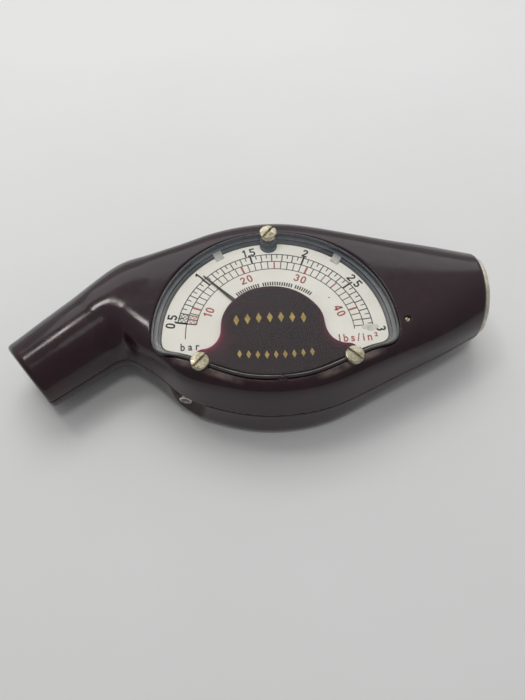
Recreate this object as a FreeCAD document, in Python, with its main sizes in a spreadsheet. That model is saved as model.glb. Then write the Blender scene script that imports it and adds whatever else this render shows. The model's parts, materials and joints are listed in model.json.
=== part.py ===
import FreeCAD, Part
import os
import Sketcher
from math import acos, atan2, cos, degrees, hypot, pi, radians, sin, tan
from FreeCAD import Placement, Rotation, Vector

# Pocket tyre pressure gauge: two moulded shells with a valve nozzle at one end and a
# tapered tail at the other, a D-shaped clear window over a printed dial, and a C-shaped
# pressure tube that turns a pointer through a link, a toothed sector and a pinion.
# Millimetres. Origin on the resting plane, under the pointer axis. +Z points out of the
# dial, +X runs to the tail, +Y runs to the top window screw.

doc = FreeCAD.newDocument("tyre_gauge")
sheet = doc.addObject("Spreadsheet::Sheet", "Dims")

DIMS = [
    # alias, value, what it drives
    ("half_height", 11.2, "parting plane height and half height of the case"),
    ("underside_trim", 0.35, "depth the rounded underside is trimmed by to give a flat rest"),
    ("floor_z", 2.2, "inside floor of the lower shell"),
    ("chamber_top", 18.6, "underside of the roof of the upper shell"),
    ("chamber_radius", 30.0, "round part of the movement chamber"),
    ("seat_z", 20.8, "window seat"),
    ("window_top", 22.9, "top face of the window"),
    ("window_radius", 29.2, "round part of the window edge"),
    ("window_bevel", 0.5, "bevel round the top of the window"),
    ("window_gap", 0.5, "gap filled by the window gasket"),
    ("gasket_top", 22.0, "top of the window gasket"),
    ("mask_z", 20.52, "underside of the window mask"),
    ("mask_thick", 0.25, "thickness of the window mask"),
    ("dial_z", 19.7, "printed face of the dial"),
    ("dial_thick", 0.5, "dial plate thickness"),
    ("tray_z", 18.2, "underside of the dial tray"),
    ("flange_thick", 0.35, "tray flange"),
    ("tray_top", 20.45, "top of the tray wall"),
    ("pointer_z", 20.0, "underside of the pointer"),
    ("pointer_thick", 0.2, "pointer thickness"),
    ("pointer_length", 24.8, "pointer tip radius"),
    ("nozzle_angle", 38.5, "plan angle of the nozzle axis"),
    ("nozzle_tip_x", -61.1, "nozzle tip centre"),
    ("nozzle_tip_y", -4.8, "nozzle tip centre"),
    ("nozzle_tip_radius", 8.7, "nozzle radius at the mouth"),
    ("nozzle_root_radius", 11.0, "nozzle radius at the case"),
    ("tail_x", 53.5, "tail end face"),
    ("tail_y", 13.9, "tail axis"),
    ("tail_bore", 8.6, "hollow of the tail"),
    ("tail_bore_len", 20.0, "depth of the tail hollow"),
    ("sleeve_outer", 6.0, "nozzle sleeve outside radius"),
    ("sleeve_bore", 4.2, "nozzle sleeve bore radius for a valve stem"),
    ("sleeve_start", 0.4, "sleeve set back from the mouth"),
    ("sleeve_length", 12.6, "sleeve length"),
    ("sleeve_clear", 0.03, "clearance round the sleeve and valve body flange"),
    ("seal_length", 2.4, "rubber seal thickness"),
    ("seal_outer", 5.7, "rubber seal outside radius"),
    ("seal_bore", 1.9, "rubber seal hole radius"),
    ("body_outer", 5.2, "valve body outside radius"),
    ("body_chamber", 3.2, "valve body chamber radius"),
    ("depressor_radius", 0.7, "valve depressor pin radius"),
    ("check_radius", 2.6, "check valve disc radius"),
    ("screw_head", 2.25, "window screw head radius"),
    ("screw_head_z", 22.2, "seat of the window screw heads"),
    ("screw_head_len", 1.3, "window screw head height"),
    ("screw_shank", 1.2, "window screw shank radius"),
    ("screw_end_z", 4.6, "window screw end"),
    ("screw_slot", 0.6, "slot width"),
    ("screw_slot_deep", 0.7, "slot depth"),
    ("screw_clear", 0.2, "clearance round the window screw shanks"),
    ("head_clear", 0.15, "clearance round the window screw heads and upper bosses"),
    ("boss_radius", 2.1, "upper screw bosses"),
    ("lower_boss_radius", 2.7, "lower screw bosses"),
    ("insert_radius", 1.9, "threaded insert outside radius"),
    ("insert_z", 4.2, "bottom of the threaded inserts"),
    ("insert_length", 6.6, "threaded insert length"),
    ("tube_radius", 19.2, "mean radius of the pressure tube"),
    ("tube_y", 7.5, "centre of the pressure tube"),
    ("tube_z", 5.6, "underside of the pressure tube"),
    ("tube_high", 7.0, "height of the tube section"),
    ("tube_thick", 2.0, "thickness of the tube section"),
    ("tube_wall", 0.35, "tube wall"),
    ("tube_start", 168.0, "tube start angle"),
    ("tube_sweep", 216.0, "tube sweep angle"),
    ("gear_module", 0.3, "module of the pinion and sector"),
    ("pinion_teeth", 12.0, "pinion teeth"),
    ("sector_teeth", 84.0, "teeth of the full sector circle"),
    ("sector_angle", 35.0, "plan angle from pinion to sector pivot"),
    ("sector_z", 8.8, "underside of the sector"),
    ("sector_thick", 0.8, "sector thickness"),
    ("pinion_z", 8.3, "underside of the pinion teeth"),
    ("pinion_len", 1.8, "length of the pinion teeth"),
    ("arbor_radius", 0.5, "arbor radius"),
    ("arbor_bore", 0.55, "pivot holes in the movement plates"),
    ("arbor_end_z", 2.5, "lower end of the arbors"),
    ("tail_arm", 3.2, "link pin to sector pivot"),
    ("base_z", 2.2, "underside of the movement base plate"),
    ("plate_thick", 1.0, "movement base plate thickness"),
    ("bridge_z", 14.2, "underside of the movement bridge"),
    ("bridge_thick", 0.8, "movement bridge thickness"),
    ("pillar_radius", 1.1, "movement pillars"),
    ("link_z", 9.95, "underside of the link"),
    ("link_thick", 0.5, "link thickness"),
    ("spring_z", 11.9, "underside of the hairspring"),
    ("spring_high", 0.6, "height of the hairspring band"),
    ("button_z", 8.5, "release button axis height"),
    ("button_radius", 1.65, "release button radius"),
    ("button_bore", 1.72, "release button guide"),
    ("ring_outer", 2.5, "button ring outside radius"),
    ("cap_radius", 10.2, "tail cap flange radius"),
    ("cap_plug", 8.5, "tail cap plug radius"),
]
sheet.set("A1", "dimension")
sheet.set("B1", "value")
sheet.set("C1", "drives")
for row, (alias, value, note) in enumerate(DIMS, start=2):
    sheet.set("A%d" % row, alias)
    sheet.set("B%d" % row, str(value))
    sheet.setAlias("B%d" % row, alias)
    sheet.set("C%d" % row, note)
doc.recompute()


def dim(alias):
    return float(sheet.get(alias))


# Hole radii shared by several pieces
SHANK_HOLE = "Dims.screw_shank + Dims.screw_clear"
HEAD_HOLE = "Dims.screw_head + Dims.head_clear"
BOSS_HOLE = "Dims.boss_radius + Dims.head_clear"
SLEEVE_HOLE = "Dims.sleeve_outer + Dims.sleeve_clear"


# ---------------------------------------------------------------- places and axes
def polar(radius, angle, centre=(0.0, 0.0)):
    """Plan point at a radius and an angle in radians about a centre."""
    return (centre[0] + radius * cos(angle), centre[1] + radius * sin(angle))


def direction(angle):
    return Vector(*polar(1.0, radians(angle)), 0)


Z_AXIS = Vector(0, 0, 1)
PARTING_Z = dim("half_height")
WINDOW_SCREWS = [(-0.2, 28.6), (-18.0, -8.4), (17.9, -8.5)]
SLOT_ANGLES = [50.0, 47.0, -45.0]
SET_SCREW = (32.0, 1.0)
BASE_SCREWS = [(-2.2, 3.4), (8.4, -0.6)]
PILLARS = [(-5.6, -3.0), (3.5, 11.5), (13.5, -1.5)]
TUBE_CENTRE = (0.0, dim("tube_y"))

# Nozzle axis, from the mouth into the case
NOZZLE_IN = direction(dim("nozzle_angle"))
NOZZLE_TIP = Vector(dim("nozzle_tip_x"), dim("nozzle_tip_y"), PARTING_Z)
NOZZLE_ROT = Rotation(Z_AXIS, NOZZLE_IN)

# Tail axis, along +X
TAIL_END = Vector(dim("tail_x"), dim("tail_y"), PARTING_Z)
TAIL_ROT = Rotation(Z_AXIS, Vector(1, 0, 0))

# Release button axis, and where it leaves the case
BUTTON_OUT = direction(258.0)
BUTTON_POINT = Vector(-22.9, -12.3, dim("button_z"))
BUTTON_ROT = Rotation(Z_AXIS, BUTTON_OUT * -1)

# Gear centres and the two pins of the link
GEAR_MODULE = dim("gear_module")
GEAR_CENTRES = GEAR_MODULE * (dim("pinion_teeth") + dim("sector_teeth")) / 2.0
SECTOR_ANGLE = radians(dim("sector_angle"))
SECTOR_PIVOT = polar(GEAR_CENTRES, SECTOR_ANGLE)
PIVOTS = [(0, 0), SECTOR_PIVOT]
SECTOR_TAIL_ANGLE = radians(-6.2)
LINK_PIN = polar(dim("tail_arm"), SECTOR_TAIL_ANGLE, SECTOR_PIVOT)
TIP_PIN = (LINK_PIN[0] + 0.05, 19.3)


def along(distance, rise=0.0):
    """Point on the nozzle axis, measured from the mouth, raised by rise."""
    return NOZZLE_TIP + NOZZLE_IN * distance + Vector(0, 0, rise)


def inward(distance):
    """Point on the release button axis, measured into the case."""
    return BUTTON_POINT - BUTTON_OUT * distance


# ---------------------------------------------------------------- plan curves
def resample(points, count):
    """Evenly spaced points round a closed smooth curve."""
    curve = Part.BSplineCurve()
    curve.interpolate([Vector(x, y, 0) for x, y in points], PeriodicFlag=True)
    spaced = curve.toShape().discretize(count + 1)[:-1]
    return [(v.x, v.y) for v in spaced]


def offset(points, distance):
    """Move every point of a counter-clockwise closed curve outward."""
    moved = []
    for i, (x, y) in enumerate(points):
        x0, y0 = points[i - 1]
        x1, y1 = points[(i + 1) % len(points)]
        dx, dy = x1 - x0, y1 - y0
        chord = hypot(dx, dy)
        moved.append((x + distance * dy / chord, y - distance * dx / chord))
    return moved


def arc_points(radius, start, sweep, steps):
    return [polar(radius, radians(start + sweep * i / steps)) for i in range(steps + 1)]


# x, y down the +X half of the bowed lower window edge
WINDOW_LOW_EDGE = [
    (28.75, -3.1), (27.6, -4.6), (25.7, -5.4), (23.4, -6.0), (20.6, -7.0), (15.6, -9.15),
    (11.0, -11.05), (6.6, -12.3), (2.2, -12.8),
]
WINDOW_PLAN = resample(arc_points(dim("window_radius"), -3.0, 186.0, 36)
                       + [(-x, y) for x, y in WINDOW_LOW_EDGE]
                       + WINDOW_LOW_EDGE[::-1], 72)

# Round chamber wall, then x, y along its bowed lower edge from -X to +X
CHAMBER_PLAN = arc_points(dim("chamber_radius"), -8.0, 195.0, 24) + [
    (-26.6, -6.2), (-22.2, -8.9), (-17.0, -11.3), (-10.0, -13.2), (-3.0, -14.2),
    (4.5, -14.2), (12.0, -13.0), (19.0, -11.2), (25.5, -8.0),
]

# x, y corners of the tube socket block
SOCKET_PLAN = [
    (-32.46, 12.24), (-21.32, 12.03), (-16.24, 10.95), (-15.6, 16.5), (-20.0, 19.5),
    (-26.2, 21.0), (-31.8, 24.27), (-38.06, 19.28),
]


# ---------------------------------------------------------------- feature helpers
# A size may be a number or an expression on the spreadsheet.
# Cutting tools run a little past the faces they open.
def bind(obj, prop, value):
    if isinstance(value, str):
        obj.setExpression(prop, value)
    else:
        setattr(obj, prop, value)


def origin_plane(body, role):
    for feature in body.Origin.OriginFeatures:
        if feature.Role == role:
            return feature
    raise ValueError(role)


def new_sketch(body, name, role="XY_Plane", height=None):
    sketch = body.newObject("Sketcher::SketchObject", name)
    sketch.AttachmentSupport = (origin_plane(body, role), [""])
    sketch.MapMode = "FlatFace"
    if isinstance(height, str):
        sketch.setExpression(".AttachmentOffset.Base.z", height)
    elif height is not None:
        sketch.AttachmentOffset = Placement(Vector(0, 0, height), Rotation())
    return sketch


def add_spline(sketch, points, closed=True):
    curve = Part.BSplineCurve()
    curve.interpolate([Vector(x, y, 0) for x, y in points], PeriodicFlag=closed)
    sketch.addGeometry(curve, False)


def add_line(sketch, start, end):
    return sketch.addGeometry(Part.LineSegment(Vector(*start, 0), Vector(*end, 0)), False)


def add_polygon(sketch, points):
    count = len(points)
    lines = [add_line(sketch, points[i], points[(i + 1) % count]) for i in range(count)]
    for i in range(count):
        sketch.addConstraint(
            Sketcher.Constraint("Coincident", lines[i], 2, lines[(i + 1) % count], 1))


def add_circle(sketch, x, y, radius):
    sketch.addGeometry(Part.Circle(Vector(x, y, 0), Z_AXIS, radius), False)


def new_body(name):
    return doc.addObject("PartDesign::Body", name)


def pad(body, sketch, name, length):
    feature = body.newObject("PartDesign::Pad", name)
    feature.Profile = sketch
    bind(feature, "Length", length)
    doc.recompute()


def prism(name, points, z, length, spline=True):
    """Upright prism on a plan that is a smooth closed curve or a polygon."""
    body = new_body(name)
    sketch = new_sketch(body, name + "_plan", height=z)
    if spline:
        add_spline(sketch, points)
    else:
        add_polygon(sketch, points)
    doc.recompute()
    pad(body, sketch, name + "_pad", length)
    return body


def loft(body, name, sections):
    doc.recompute()
    feature = body.newObject("PartDesign::AdditiveLoft", name)
    feature.Profile = sections[0]
    feature.Sections = sections[1:]
    feature.Ruled = False
    doc.recompute()


def revolve(body, sketch, name, angle):
    feature = body.newObject("PartDesign::Revolution", name)
    feature.Profile = sketch
    feature.ReferenceAxis = (sketch, ["V_Axis"])
    bind(feature, "Angle", angle)
    doc.recompute()
    return feature


def turned(name, profile, base, rotation):
    """Turned part: profile is a closed list of (radius, height) round the local Z axis."""
    body = new_body(name)
    sketch = new_sketch(body, name + "_profile", "XZ_Plane")
    add_polygon(sketch, profile)
    revolve(body, sketch, name + "_turned", 360.0)
    body.Placement = Placement(base, rotation)
    doc.recompute()
    return body


def coil(name, radius, wire, length, turns, base, rotation):
    """Round-wire coil spring; wire is the radius of the wire."""
    body = new_body(name)
    helix = body.newObject("PartDesign::AdditiveHelix", name + "_coil")
    sketch = new_sketch(body, name + "_wire", "XZ_Plane")
    add_circle(sketch, radius, 0, wire)
    doc.recompute()
    helix.Profile = sketch
    helix.ReferenceAxis = (sketch, ["V_Axis"])
    helix.Mode = 1    # pitch, turns and angle
    helix.Pitch = length / turns
    helix.Turns = turns
    helix.Height = length
    doc.recompute()
    body.Tip = helix
    body.Placement = Placement(base, rotation)
    doc.recompute()
    return body


def tube_arc(name, draw_section, sweep, start, probe_radius, probe_angle, probe_z):
    """Section swept about the tube centre from a start angle, through the probe point."""
    body = new_body(name)
    sketch = new_sketch(body, name + "_section", "XZ_Plane")
    draw_section(sketch)
    bend = revolve(body, sketch, name + "_bend", sweep)
    body.Placement = Placement(Vector(*TUBE_CENTRE, 0), Rotation(Z_AXIS, start))
    doc.recompute()
    # turn the sweep round if it misses the probe
    probe = Vector(*polar(probe_radius, radians(probe_angle), TUBE_CENTRE), probe_z)
    if Part.Vertex(probe).distToShape(body.Shape)[0] > 0.6:
        bend.Reversed = not bend.Reversed
        doc.recompute()
    return body


def cylinder(name, radius, height, base, rotation=Rotation()):
    obj = doc.addObject("Part::Cylinder", name)
    bind(obj, "Radius", radius)
    bind(obj, "Height", height)
    obj.Placement = Placement(base, rotation)
    return obj


def cylinders_at(name, points, radius, height, z, first=0):
    """Upright cylinders at plan points, numbered from first."""
    return [cylinder("%s_%d" % (name, i), radius, height, Vector(x, y, z))
            for i, (x, y) in enumerate(points, start=first)]


def box(name, length, width, height, base, rotation=Rotation()):
    obj = doc.addObject("Part::Box", name)
    obj.Length, obj.Width, obj.Height = length, width, height
    obj.Placement = Placement(base, rotation)
    return obj


def fuse(name, objects):
    obj = doc.addObject("Part::MultiFuse", name)
    obj.Shapes = objects
    doc.recompute()
    return obj


def cut(name, base, tools):
    obj = doc.addObject("Part::Cut", name)
    obj.Base = base
    obj.Tool = fuse(name + "_tools", tools) if len(tools) > 1 else tools[0]
    doc.recompute()
    return obj


def common(name, base, tool):
    obj = doc.addObject("Part::Common", name)
    obj.Base = base
    obj.Tool = tool
    doc.recompute()
    return obj


def group(name, objects):
    obj = doc.addObject("Part::Compound", name)
    obj.Links = objects
    doc.recompute()
    return obj


# ---------------------------------------------------------------- case shells
# Case sections across X: x, near edge y (-Y side), far edge y (+Y side),
# squareness of the far side, of the near side above and below the parting, near-side draft
CASE_SECTIONS = [
    (-37.0, 4.0, 19.6, 2.2, 2.2, 2.2, 0.0),
    (-34.0, -2.3, 25.4, 3.0, 3.0, 3.0, 0.0),
    (-30.0, -6.3, 27.8, 3.8, 4.2, 4.0, 0.03),
    (-24.0, -11.1, 29.8, 4.6, 6.5, 5.5, 0.06),
    (-16.0, -14.8, 32.9, 5.0, 8.0, 8.5, 0.085),
    (-6.0, -17.4, 35.4, 5.0, 8.5, 9.0, 0.09),
    (4.0, -17.8, 35.7, 5.0, 8.5, 9.0, 0.09),
    (14.0, -15.8, 33.75, 4.8, 8.0, 8.0, 0.10),
    (24.0, -11.6, 31.25, 4.2, 6.5, 5.5, 0.11),
    (34.0, -7.15, 29.15, 3.3, 4.2, 3.4, 0.07),
    (44.0, -2.5, 27.45, 2.5, 2.7, 2.4, 0.02),
    (53.5, 2.7, 25.1, 2.0, 2.0, 2.0, 0.0),
]
SECTION_SAMPLES = 1440
SECTION_POINTS = 56
GUIDE_RADIUS = 3.25
SCOOP_RADIUS = 9.0
SCOOP_OFFSET = direction(240.0) * 6.6    # plan shift of the scoop axis from the button
SCOOP_FLOOR_Z = 5.2


def case_section(near_y, far_y, far_power, top_power, low_power, draft):
    """Superellipse section as evenly spaced (y, z) points round its edge."""
    centre, half_width = (near_y + far_y) / 2.0, (far_y - near_y) / 2.0
    fine = []
    for i in range(SECTION_SAMPLES):
        angle = 2 * pi * i / SECTION_SAMPLES
        across, up = cos(angle), sin(angle)
        power = far_power if across >= 0 else (top_power if up > 0 else low_power)
        scale = (abs(across) ** power + abs(up) ** power) ** (-1.0 / power)
        depth = PARTING_Z + (dim_trim if up < 0 else 0.0)
        lean = 1.0 - draft * max(0.0, up * scale) if across < 0 else 1.0
        fine.append((centre + half_width * across * scale * lean,
                     PARTING_Z + depth * up * scale))
    run = [0.0]
    for i in range(SECTION_SAMPLES):
        (y0, z0), (y1, z1) = fine[i], fine[(i + 1) % SECTION_SAMPLES]
        run.append(run[-1] + hypot(y1 - y0, z1 - z0))
    points, sample = [], 0
    for i in range(SECTION_POINTS):
        while run[sample + 1] < run[-1] * i / SECTION_POINTS:
            sample += 1
        points.append(fine[sample % SECTION_SAMPLES])
    return points


dim_trim = dim("underside_trim")


def case_half(name, keep_top):
    """Lofted barrel of the case, cut away on one side of the parting plane."""
    body = new_body(name + "_block")
    sections = []
    for i, (x, *shape) in enumerate(CASE_SECTIONS):
        sketch = new_sketch(body, "%s_sec%d" % (name, i), "YZ_Plane", x)
        add_spline(sketch, case_section(*shape))
        sections.append(sketch)
    loft(body, name + "_barrel", sections)
    split = new_sketch(body, name + "_split", height="Dims.half_height")
    add_polygon(split, [(-90, -60), (80, -60), (80, 70), (-90, 70)])
    doc.recompute()
    pocket = body.newObject("PartDesign::Pocket", name + "_half")
    pocket.Profile = split
    pocket.Length = 40.0
    pocket.Reversed = not keep_top
    doc.recompute()
    # turn the pocket round if it removed the side to keep
    if (pocket.Shape.CenterOfGravity.z > PARTING_Z) != keep_top:
        pocket.Reversed = not pocket.Reversed
        doc.recompute()
    return body


def nozzle_half(name, keep_top):
    """Turned nozzle with a rounded mouth and a domed root, halved at the parting plane."""
    tip, root = dim("nozzle_tip_radius"), dim("nozzle_root_radius")
    profile = [
        (0, 0), (tip - 0.9, 0), (tip - 0.25, 0.27), (tip, 0.9), (root - 0.3, 27.0),
        (root, 33.0), (root - 0.35, 36.5), (root - 1.5, 39.5), (root - 3.4, 42.0),
        (root - 6.5, 44.0), (0, 44.8),
    ]
    nozzle = turned(name + "_nozzle", profile, NOZZLE_TIP, NOZZLE_ROT)
    side_high = 40
    side_z = PARTING_Z if keep_top else PARTING_Z - side_high
    side = box(name + "_side", 150, 150, side_high, Vector(-110, -75, side_z))
    return common(name + "_nozzle_half", nozzle, side)


def end_hollows(side, socket_z):
    """Tools both shells share: nozzle bores, socket pocket and tail bore."""
    def nozzle_bore(name, radius, length, start):
        return cylinder(side + name, radius, length, along(start), NOZZLE_ROT)

    return [
        nozzle_bore("_sleeve_bore", SLEEVE_HOLE, 15.66, -1.0),
        nozzle_bore("_body_bore", "Dims.body_outer + 0.05", 24.0, 14.0),
        nozzle_bore("_flange_bore", SLEEVE_HOLE, 4.0, 13.5),
        prism(side + "_socket_pocket", offset(SOCKET_PLAN, 0.3), socket_z, 8.0, spline=False),
        cylinder(side + "_tail_bore", "Dims.tail_bore", "Dims.tail_bore_len + 5",
                 TAIL_END - Vector(dim("tail_bore_len"), 0, 0), TAIL_ROT),
    ]


def scoop(name):
    """Upright cutter for the finger scoop round the release button."""
    base = BUTTON_POINT + SCOOP_OFFSET
    return cylinder(name, SCOOP_RADIUS, 12.0, Vector(base.x, base.y, SCOOP_FLOOR_Z))


def button_guide():
    """Guide round the release button, kept below the parting plane and clear of the scoop."""
    below = common("button_guide",
                   cylinder("button_guide_round", GUIDE_RADIUS, 6.6, inward(0.0), BUTTON_ROT),
                   box("button_guide_side", 40, 40, PARTING_Z, Vector(-40, -30, 0)))
    return cut("button_guide_trim", below, [scoop("button_guide_face")])


def lower_case():
    solid = fuse("lower_solid", [case_half("lower_case", False),
                                 nozzle_half("lower_case", False)])
    chamber = prism("lower_chamber", CHAMBER_PLAN, "Dims.floor_z", "Dims.half_height")
    hollow = cut("lower_hollow", solid, [chamber] + end_hollows("lower", 6.4))
    root = 0.2    # boss depth sunk into the floor
    bosses = cylinders_at("lower_boss", WINDOW_SCREWS, "Dims.lower_boss_radius",
                          "Dims.half_height - Dims.floor_z + %s" % root, dim("floor_z") - root)
    whole = fuse("lower_whole", [hollow] + bosses + [button_guide()])
    tools = cylinders_at("lower_insert_bore", WINDOW_SCREWS, "Dims.insert_radius",
                         "Dims.insert_length + 2", dim("insert_z"))
    tools += [
        scoop("finger_scoop"),
        cylinder("button_bore_cut", "Dims.button_bore", 12.0, inward(-3.0), BUTTON_ROT),
        cylinder("ring_seat", "Dims.ring_outer + 0.02", 4.2, inward(-1.0), BUTTON_ROT),
    ]
    tools += cylinders_at("base_screw_hole", BASE_SCREWS, 0.7, 2.0, 0.7)
    tools += [
        box("rest_trim", 160, 100, 5, Vector(-80, -40, -5)),
        cylinder("arbor_relief", 0.9, 0.4, Vector(0, 0, dim("floor_z") - 0.2)),
    ]
    return cut("lower_case", whole, tools)


def upper_case():
    solid = fuse("upper_solid", [case_half("upper_case", True),
                                 nozzle_half("upper_case", True)])
    tools = [
        prism("upper_chamber", CHAMBER_PLAN, "Dims.half_height - 1",
              "Dims.chamber_top - Dims.half_height + 1"),
        prism("tray_opening", offset(WINDOW_PLAN, -0.9), "Dims.chamber_top - 1",
              "Dims.seat_z - Dims.chamber_top + 2"),
        prism("window_recess", offset(WINDOW_PLAN, dim("window_gap")), "Dims.seat_z", 6.0),
    ]
    hollow = cut("upper_hollow", solid, tools + end_hollows("upper", 8.0))
    bosses = cylinders_at("upper_boss", WINDOW_SCREWS, "Dims.boss_radius",
                          "Dims.seat_z - Dims.half_height", PARTING_Z)
    whole = fuse("upper_whole", [hollow] + bosses)
    tools = cylinders_at("upper_screw_bore", WINDOW_SCREWS, SHANK_HOLE, 20.0, PARTING_Z - 1)
    tools += cylinders_at("head_seat", WINDOW_SCREWS, HEAD_HOLE, 6.0, dim("screw_head_z"))
    tools.append(cylinder("set_screw_hole", 0.75, 8.0, Vector(*SET_SCREW, 17.0)))
    return cut("upper_case", whole, tools)


# ---------------------------------------------------------------- window group
# x, y counter-clockwise round the mask below the dial scale, from its -X corner
MASK_PLAN = [
    (-19.35, -5.6), (-15.1, -8.07), (-10.5, -9.9), (-6.3, -11.1), (-2.15, -11.6),
    (2.15, -11.6), (6.3, -11.1), (10.5, -9.9), (15.1, -8.07), (19.35, -5.6),
    (18.3, -4.3), (16.4, -3.9), (14.7, -3.2), (13.6, -2.2), (12.7, -0.6), (12.25, 1.2),
    (12.1, 3.2), (11.6, 5.3), (10.7, 7.0), (9.2, 8.9), (6.9, 10.9), (4.4, 12.3),
    (2.0, 13.0), (-0.6, 13.25), (-3.8, 12.9), (-6.5, 11.9), (-9.0, 10.2), (-10.8, 8.4),
    (-12.0, 6.5), (-12.9, 3.9), (-13.15, 1.3), (-13.35, -0.3), (-14.1, -2.0),
    (-15.3, -3.3), (-16.9, -4.0), (-18.1, -4.2),
]
GASKET_CLEAR = 0.02    # gasket clearance to the window and to the recess


def window():
    blank = prism("window_blank", WINDOW_PLAN, "Dims.seat_z",
                  "Dims.window_top - Dims.seat_z - Dims.window_bevel")
    bevel = new_body("window_bevelled")
    foot = new_sketch(bevel, "bevel_foot", height="Dims.window_top - Dims.window_bevel")
    add_spline(foot, WINDOW_PLAN)
    top = new_sketch(bevel, "bevel_top", height="Dims.window_top")
    add_spline(top, offset(WINDOW_PLAN, -dim("window_bevel")))
    loft(bevel, "window_bevel_loft", [foot, top])
    solid = fuse("window_solid", [blank, bevel])
    notches = cylinders_at("window_notch", WINDOW_SCREWS, SHANK_HOLE, 6.0, dim("seat_z") - 1)
    notches += cylinders_at("window_head_notch", WINDOW_SCREWS, HEAD_HOLE, 4.0,
                            dim("screw_head_z"))
    return cut("window", solid, notches)


def window_mask():
    blank = prism("mask_blank", MASK_PLAN, "Dims.mask_z", "Dims.mask_thick")
    return cut("window_mask", blank,
               cylinders_at("mask_notch", WINDOW_SCREWS, BOSS_HOLE, 4.0, 19.5))


def window_gasket():
    outer = prism("gasket_outer", offset(WINDOW_PLAN, dim("window_gap") - GASKET_CLEAR),
                  "Dims.seat_z", "Dims.gasket_top - Dims.seat_z")
    inner = prism("gasket_inner", offset(WINDOW_PLAN, GASKET_CLEAR),
                  "Dims.seat_z - 1", "Dims.gasket_top - Dims.seat_z + 2")
    notches = cylinders_at("gasket_notch", WINDOW_SCREWS, SHANK_HOLE, 6.0, dim("seat_z") - 1)
    return cut("window_gasket", outer, [inner] + notches)


# ---------------------------------------------------------------- fasteners
def slot_cutter(name, x, y, z, width, angle):
    """Box centred over a screw, turned in plan, with its floor at z."""
    length, height = 8.0, 3.0
    rotation = Rotation(Z_AXIS, angle)
    corner = rotation.multVec(Vector(-length / 2, -width / 2, 0))
    return box(name, length, width, height, Vector(x, y, z) + corner, rotation)


def slotted_screw(name, point, seat_z, end_z, shank, head, head_high, slot_z, slot_width,
                  angle):
    """Screw with a slotted flat head above seat_z; shank and head are radii."""
    overlap = 0.1    # shank run into the head
    head_part = cylinder(name + "_head", head, head_high, Vector(*point, seat_z))
    shank_part = cylinder(name + "_shank", shank, seat_z - end_z + overlap,
                          Vector(*point, end_z))
    whole = fuse(name + "_whole", [head_part, shank_part])
    return cut(name, whole, [slot_cutter(name + "_slot", *point, slot_z, slot_width, angle)])


def window_screws():
    seat = dim("screw_head_z")
    slot_z = seat + dim("screw_head_len") - dim("screw_slot_deep")
    return group("window_screws", [
        slotted_screw("screw_%d" % i, point, seat, dim("screw_end_z"),
                      shank="Dims.screw_shank", head="Dims.screw_head",
                      head_high="Dims.screw_head_len", slot_z=slot_z,
                      slot_width=dim("screw_slot"), angle=SLOT_ANGLES[i])
        for i, point in enumerate(WINDOW_SCREWS)])


def threaded_inserts():
    z = dim("insert_z")
    rounds = cylinders_at("insert_round", WINDOW_SCREWS, "Dims.insert_radius",
                          "Dims.insert_length", z)
    threads = cylinders_at("insert_thread", WINDOW_SCREWS, "Dims.screw_shank + 0.05",
                           12.0, z - 1)
    return group("threaded_inserts", [
        cut("insert_%d" % i, outer, [thread])
        for i, (outer, thread) in enumerate(zip(rounds, threads))])


def case_set_screw():
    rod = cylinder("set_screw_round", 0.7, 4.3, Vector(*SET_SCREW, 17.75))
    slot = slot_cutter("set_screw_slot", *SET_SCREW, 21.6, width=0.28, angle=62.0)
    return cut("case_set_screw", rod, [slot])


def small_screws(name, points, seat_z, shank, head, length, first_angle, angle_step):
    """Group of movement screws with heads slotted to half their height."""
    head_high = 0.8
    return group(name + "s", [
        slotted_screw("%s_%d" % (name, i), point, seat_z, seat_z - length, shank, head,
                      head_high, slot_z=seat_z + head_high / 2, slot_width=0.3,
                      angle=first_angle + angle_step * i)
        for i, point in enumerate(points)])


def bridge_screws():
    return small_screws("bridge_screw", PILLARS, dim("bridge_z") + dim("bridge_thick"),
                        shank=0.55, head=1.1, length=3.2, first_angle=20, angle_step=50)


def base_screws():
    return small_screws("base_screw", BASE_SCREWS, dim("base_z") + dim("plate_thick"),
                        shank=0.65, head=1.25, length=2.3, first_angle=35, angle_step=70)


# ---------------------------------------------------------------- dial group
TAB_DIRECTIONS = [(-13.5, 24.1), (17.4, 21.9)]    # plan directions of the tray tabs
TAB_RADIUS, TAB_LENGTH, TAB_WIDTH, TAB_HIGH = 26.6, 1.35, 2.2, 0.45


def tray_tab(i, x, y):
    """Small tab reaching outward just above the dial face."""
    rotation = Rotation(Z_AXIS, degrees(atan2(y, x)))
    base = rotation.multVec(Vector(TAB_RADIUS, -TAB_WIDTH / 2, 0))
    return box("tray_tab_%d" % i, TAB_LENGTH, TAB_WIDTH, TAB_HIGH,
               base + Vector(0, 0, dim("dial_z") + 0.03), rotation)


def dial_tray():
    flange = prism("tray_flange", offset(WINDOW_PLAN, 0.5), "Dims.tray_z",
                   "Dims.flange_thick")
    wall = prism("tray_wall", offset(WINDOW_PLAN, -1.0), "Dims.tray_z",
                 "Dims.tray_top - Dims.tray_z")
    hollow = prism("tray_hollow", offset(WINDOW_PLAN, -1.5),
                   "Dims.dial_z - Dims.dial_thick", 4.0)
    cup = cut("tray_cup", fuse("tray_round", [flange, wall]), [hollow])
    tabs = [tray_tab(i, x, y) for i, (x, y) in enumerate(TAB_DIRECTIONS)]
    full = fuse("tray_full", [cup] + tabs)
    return cut("dial_tray", full,
               cylinders_at("tray_notch", WINDOW_SCREWS, BOSS_HOLE, 6.0, 17)
               + [cylinder("tray_centre", 1.5, 4.0, Vector(0, 0, 17))])


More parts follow.
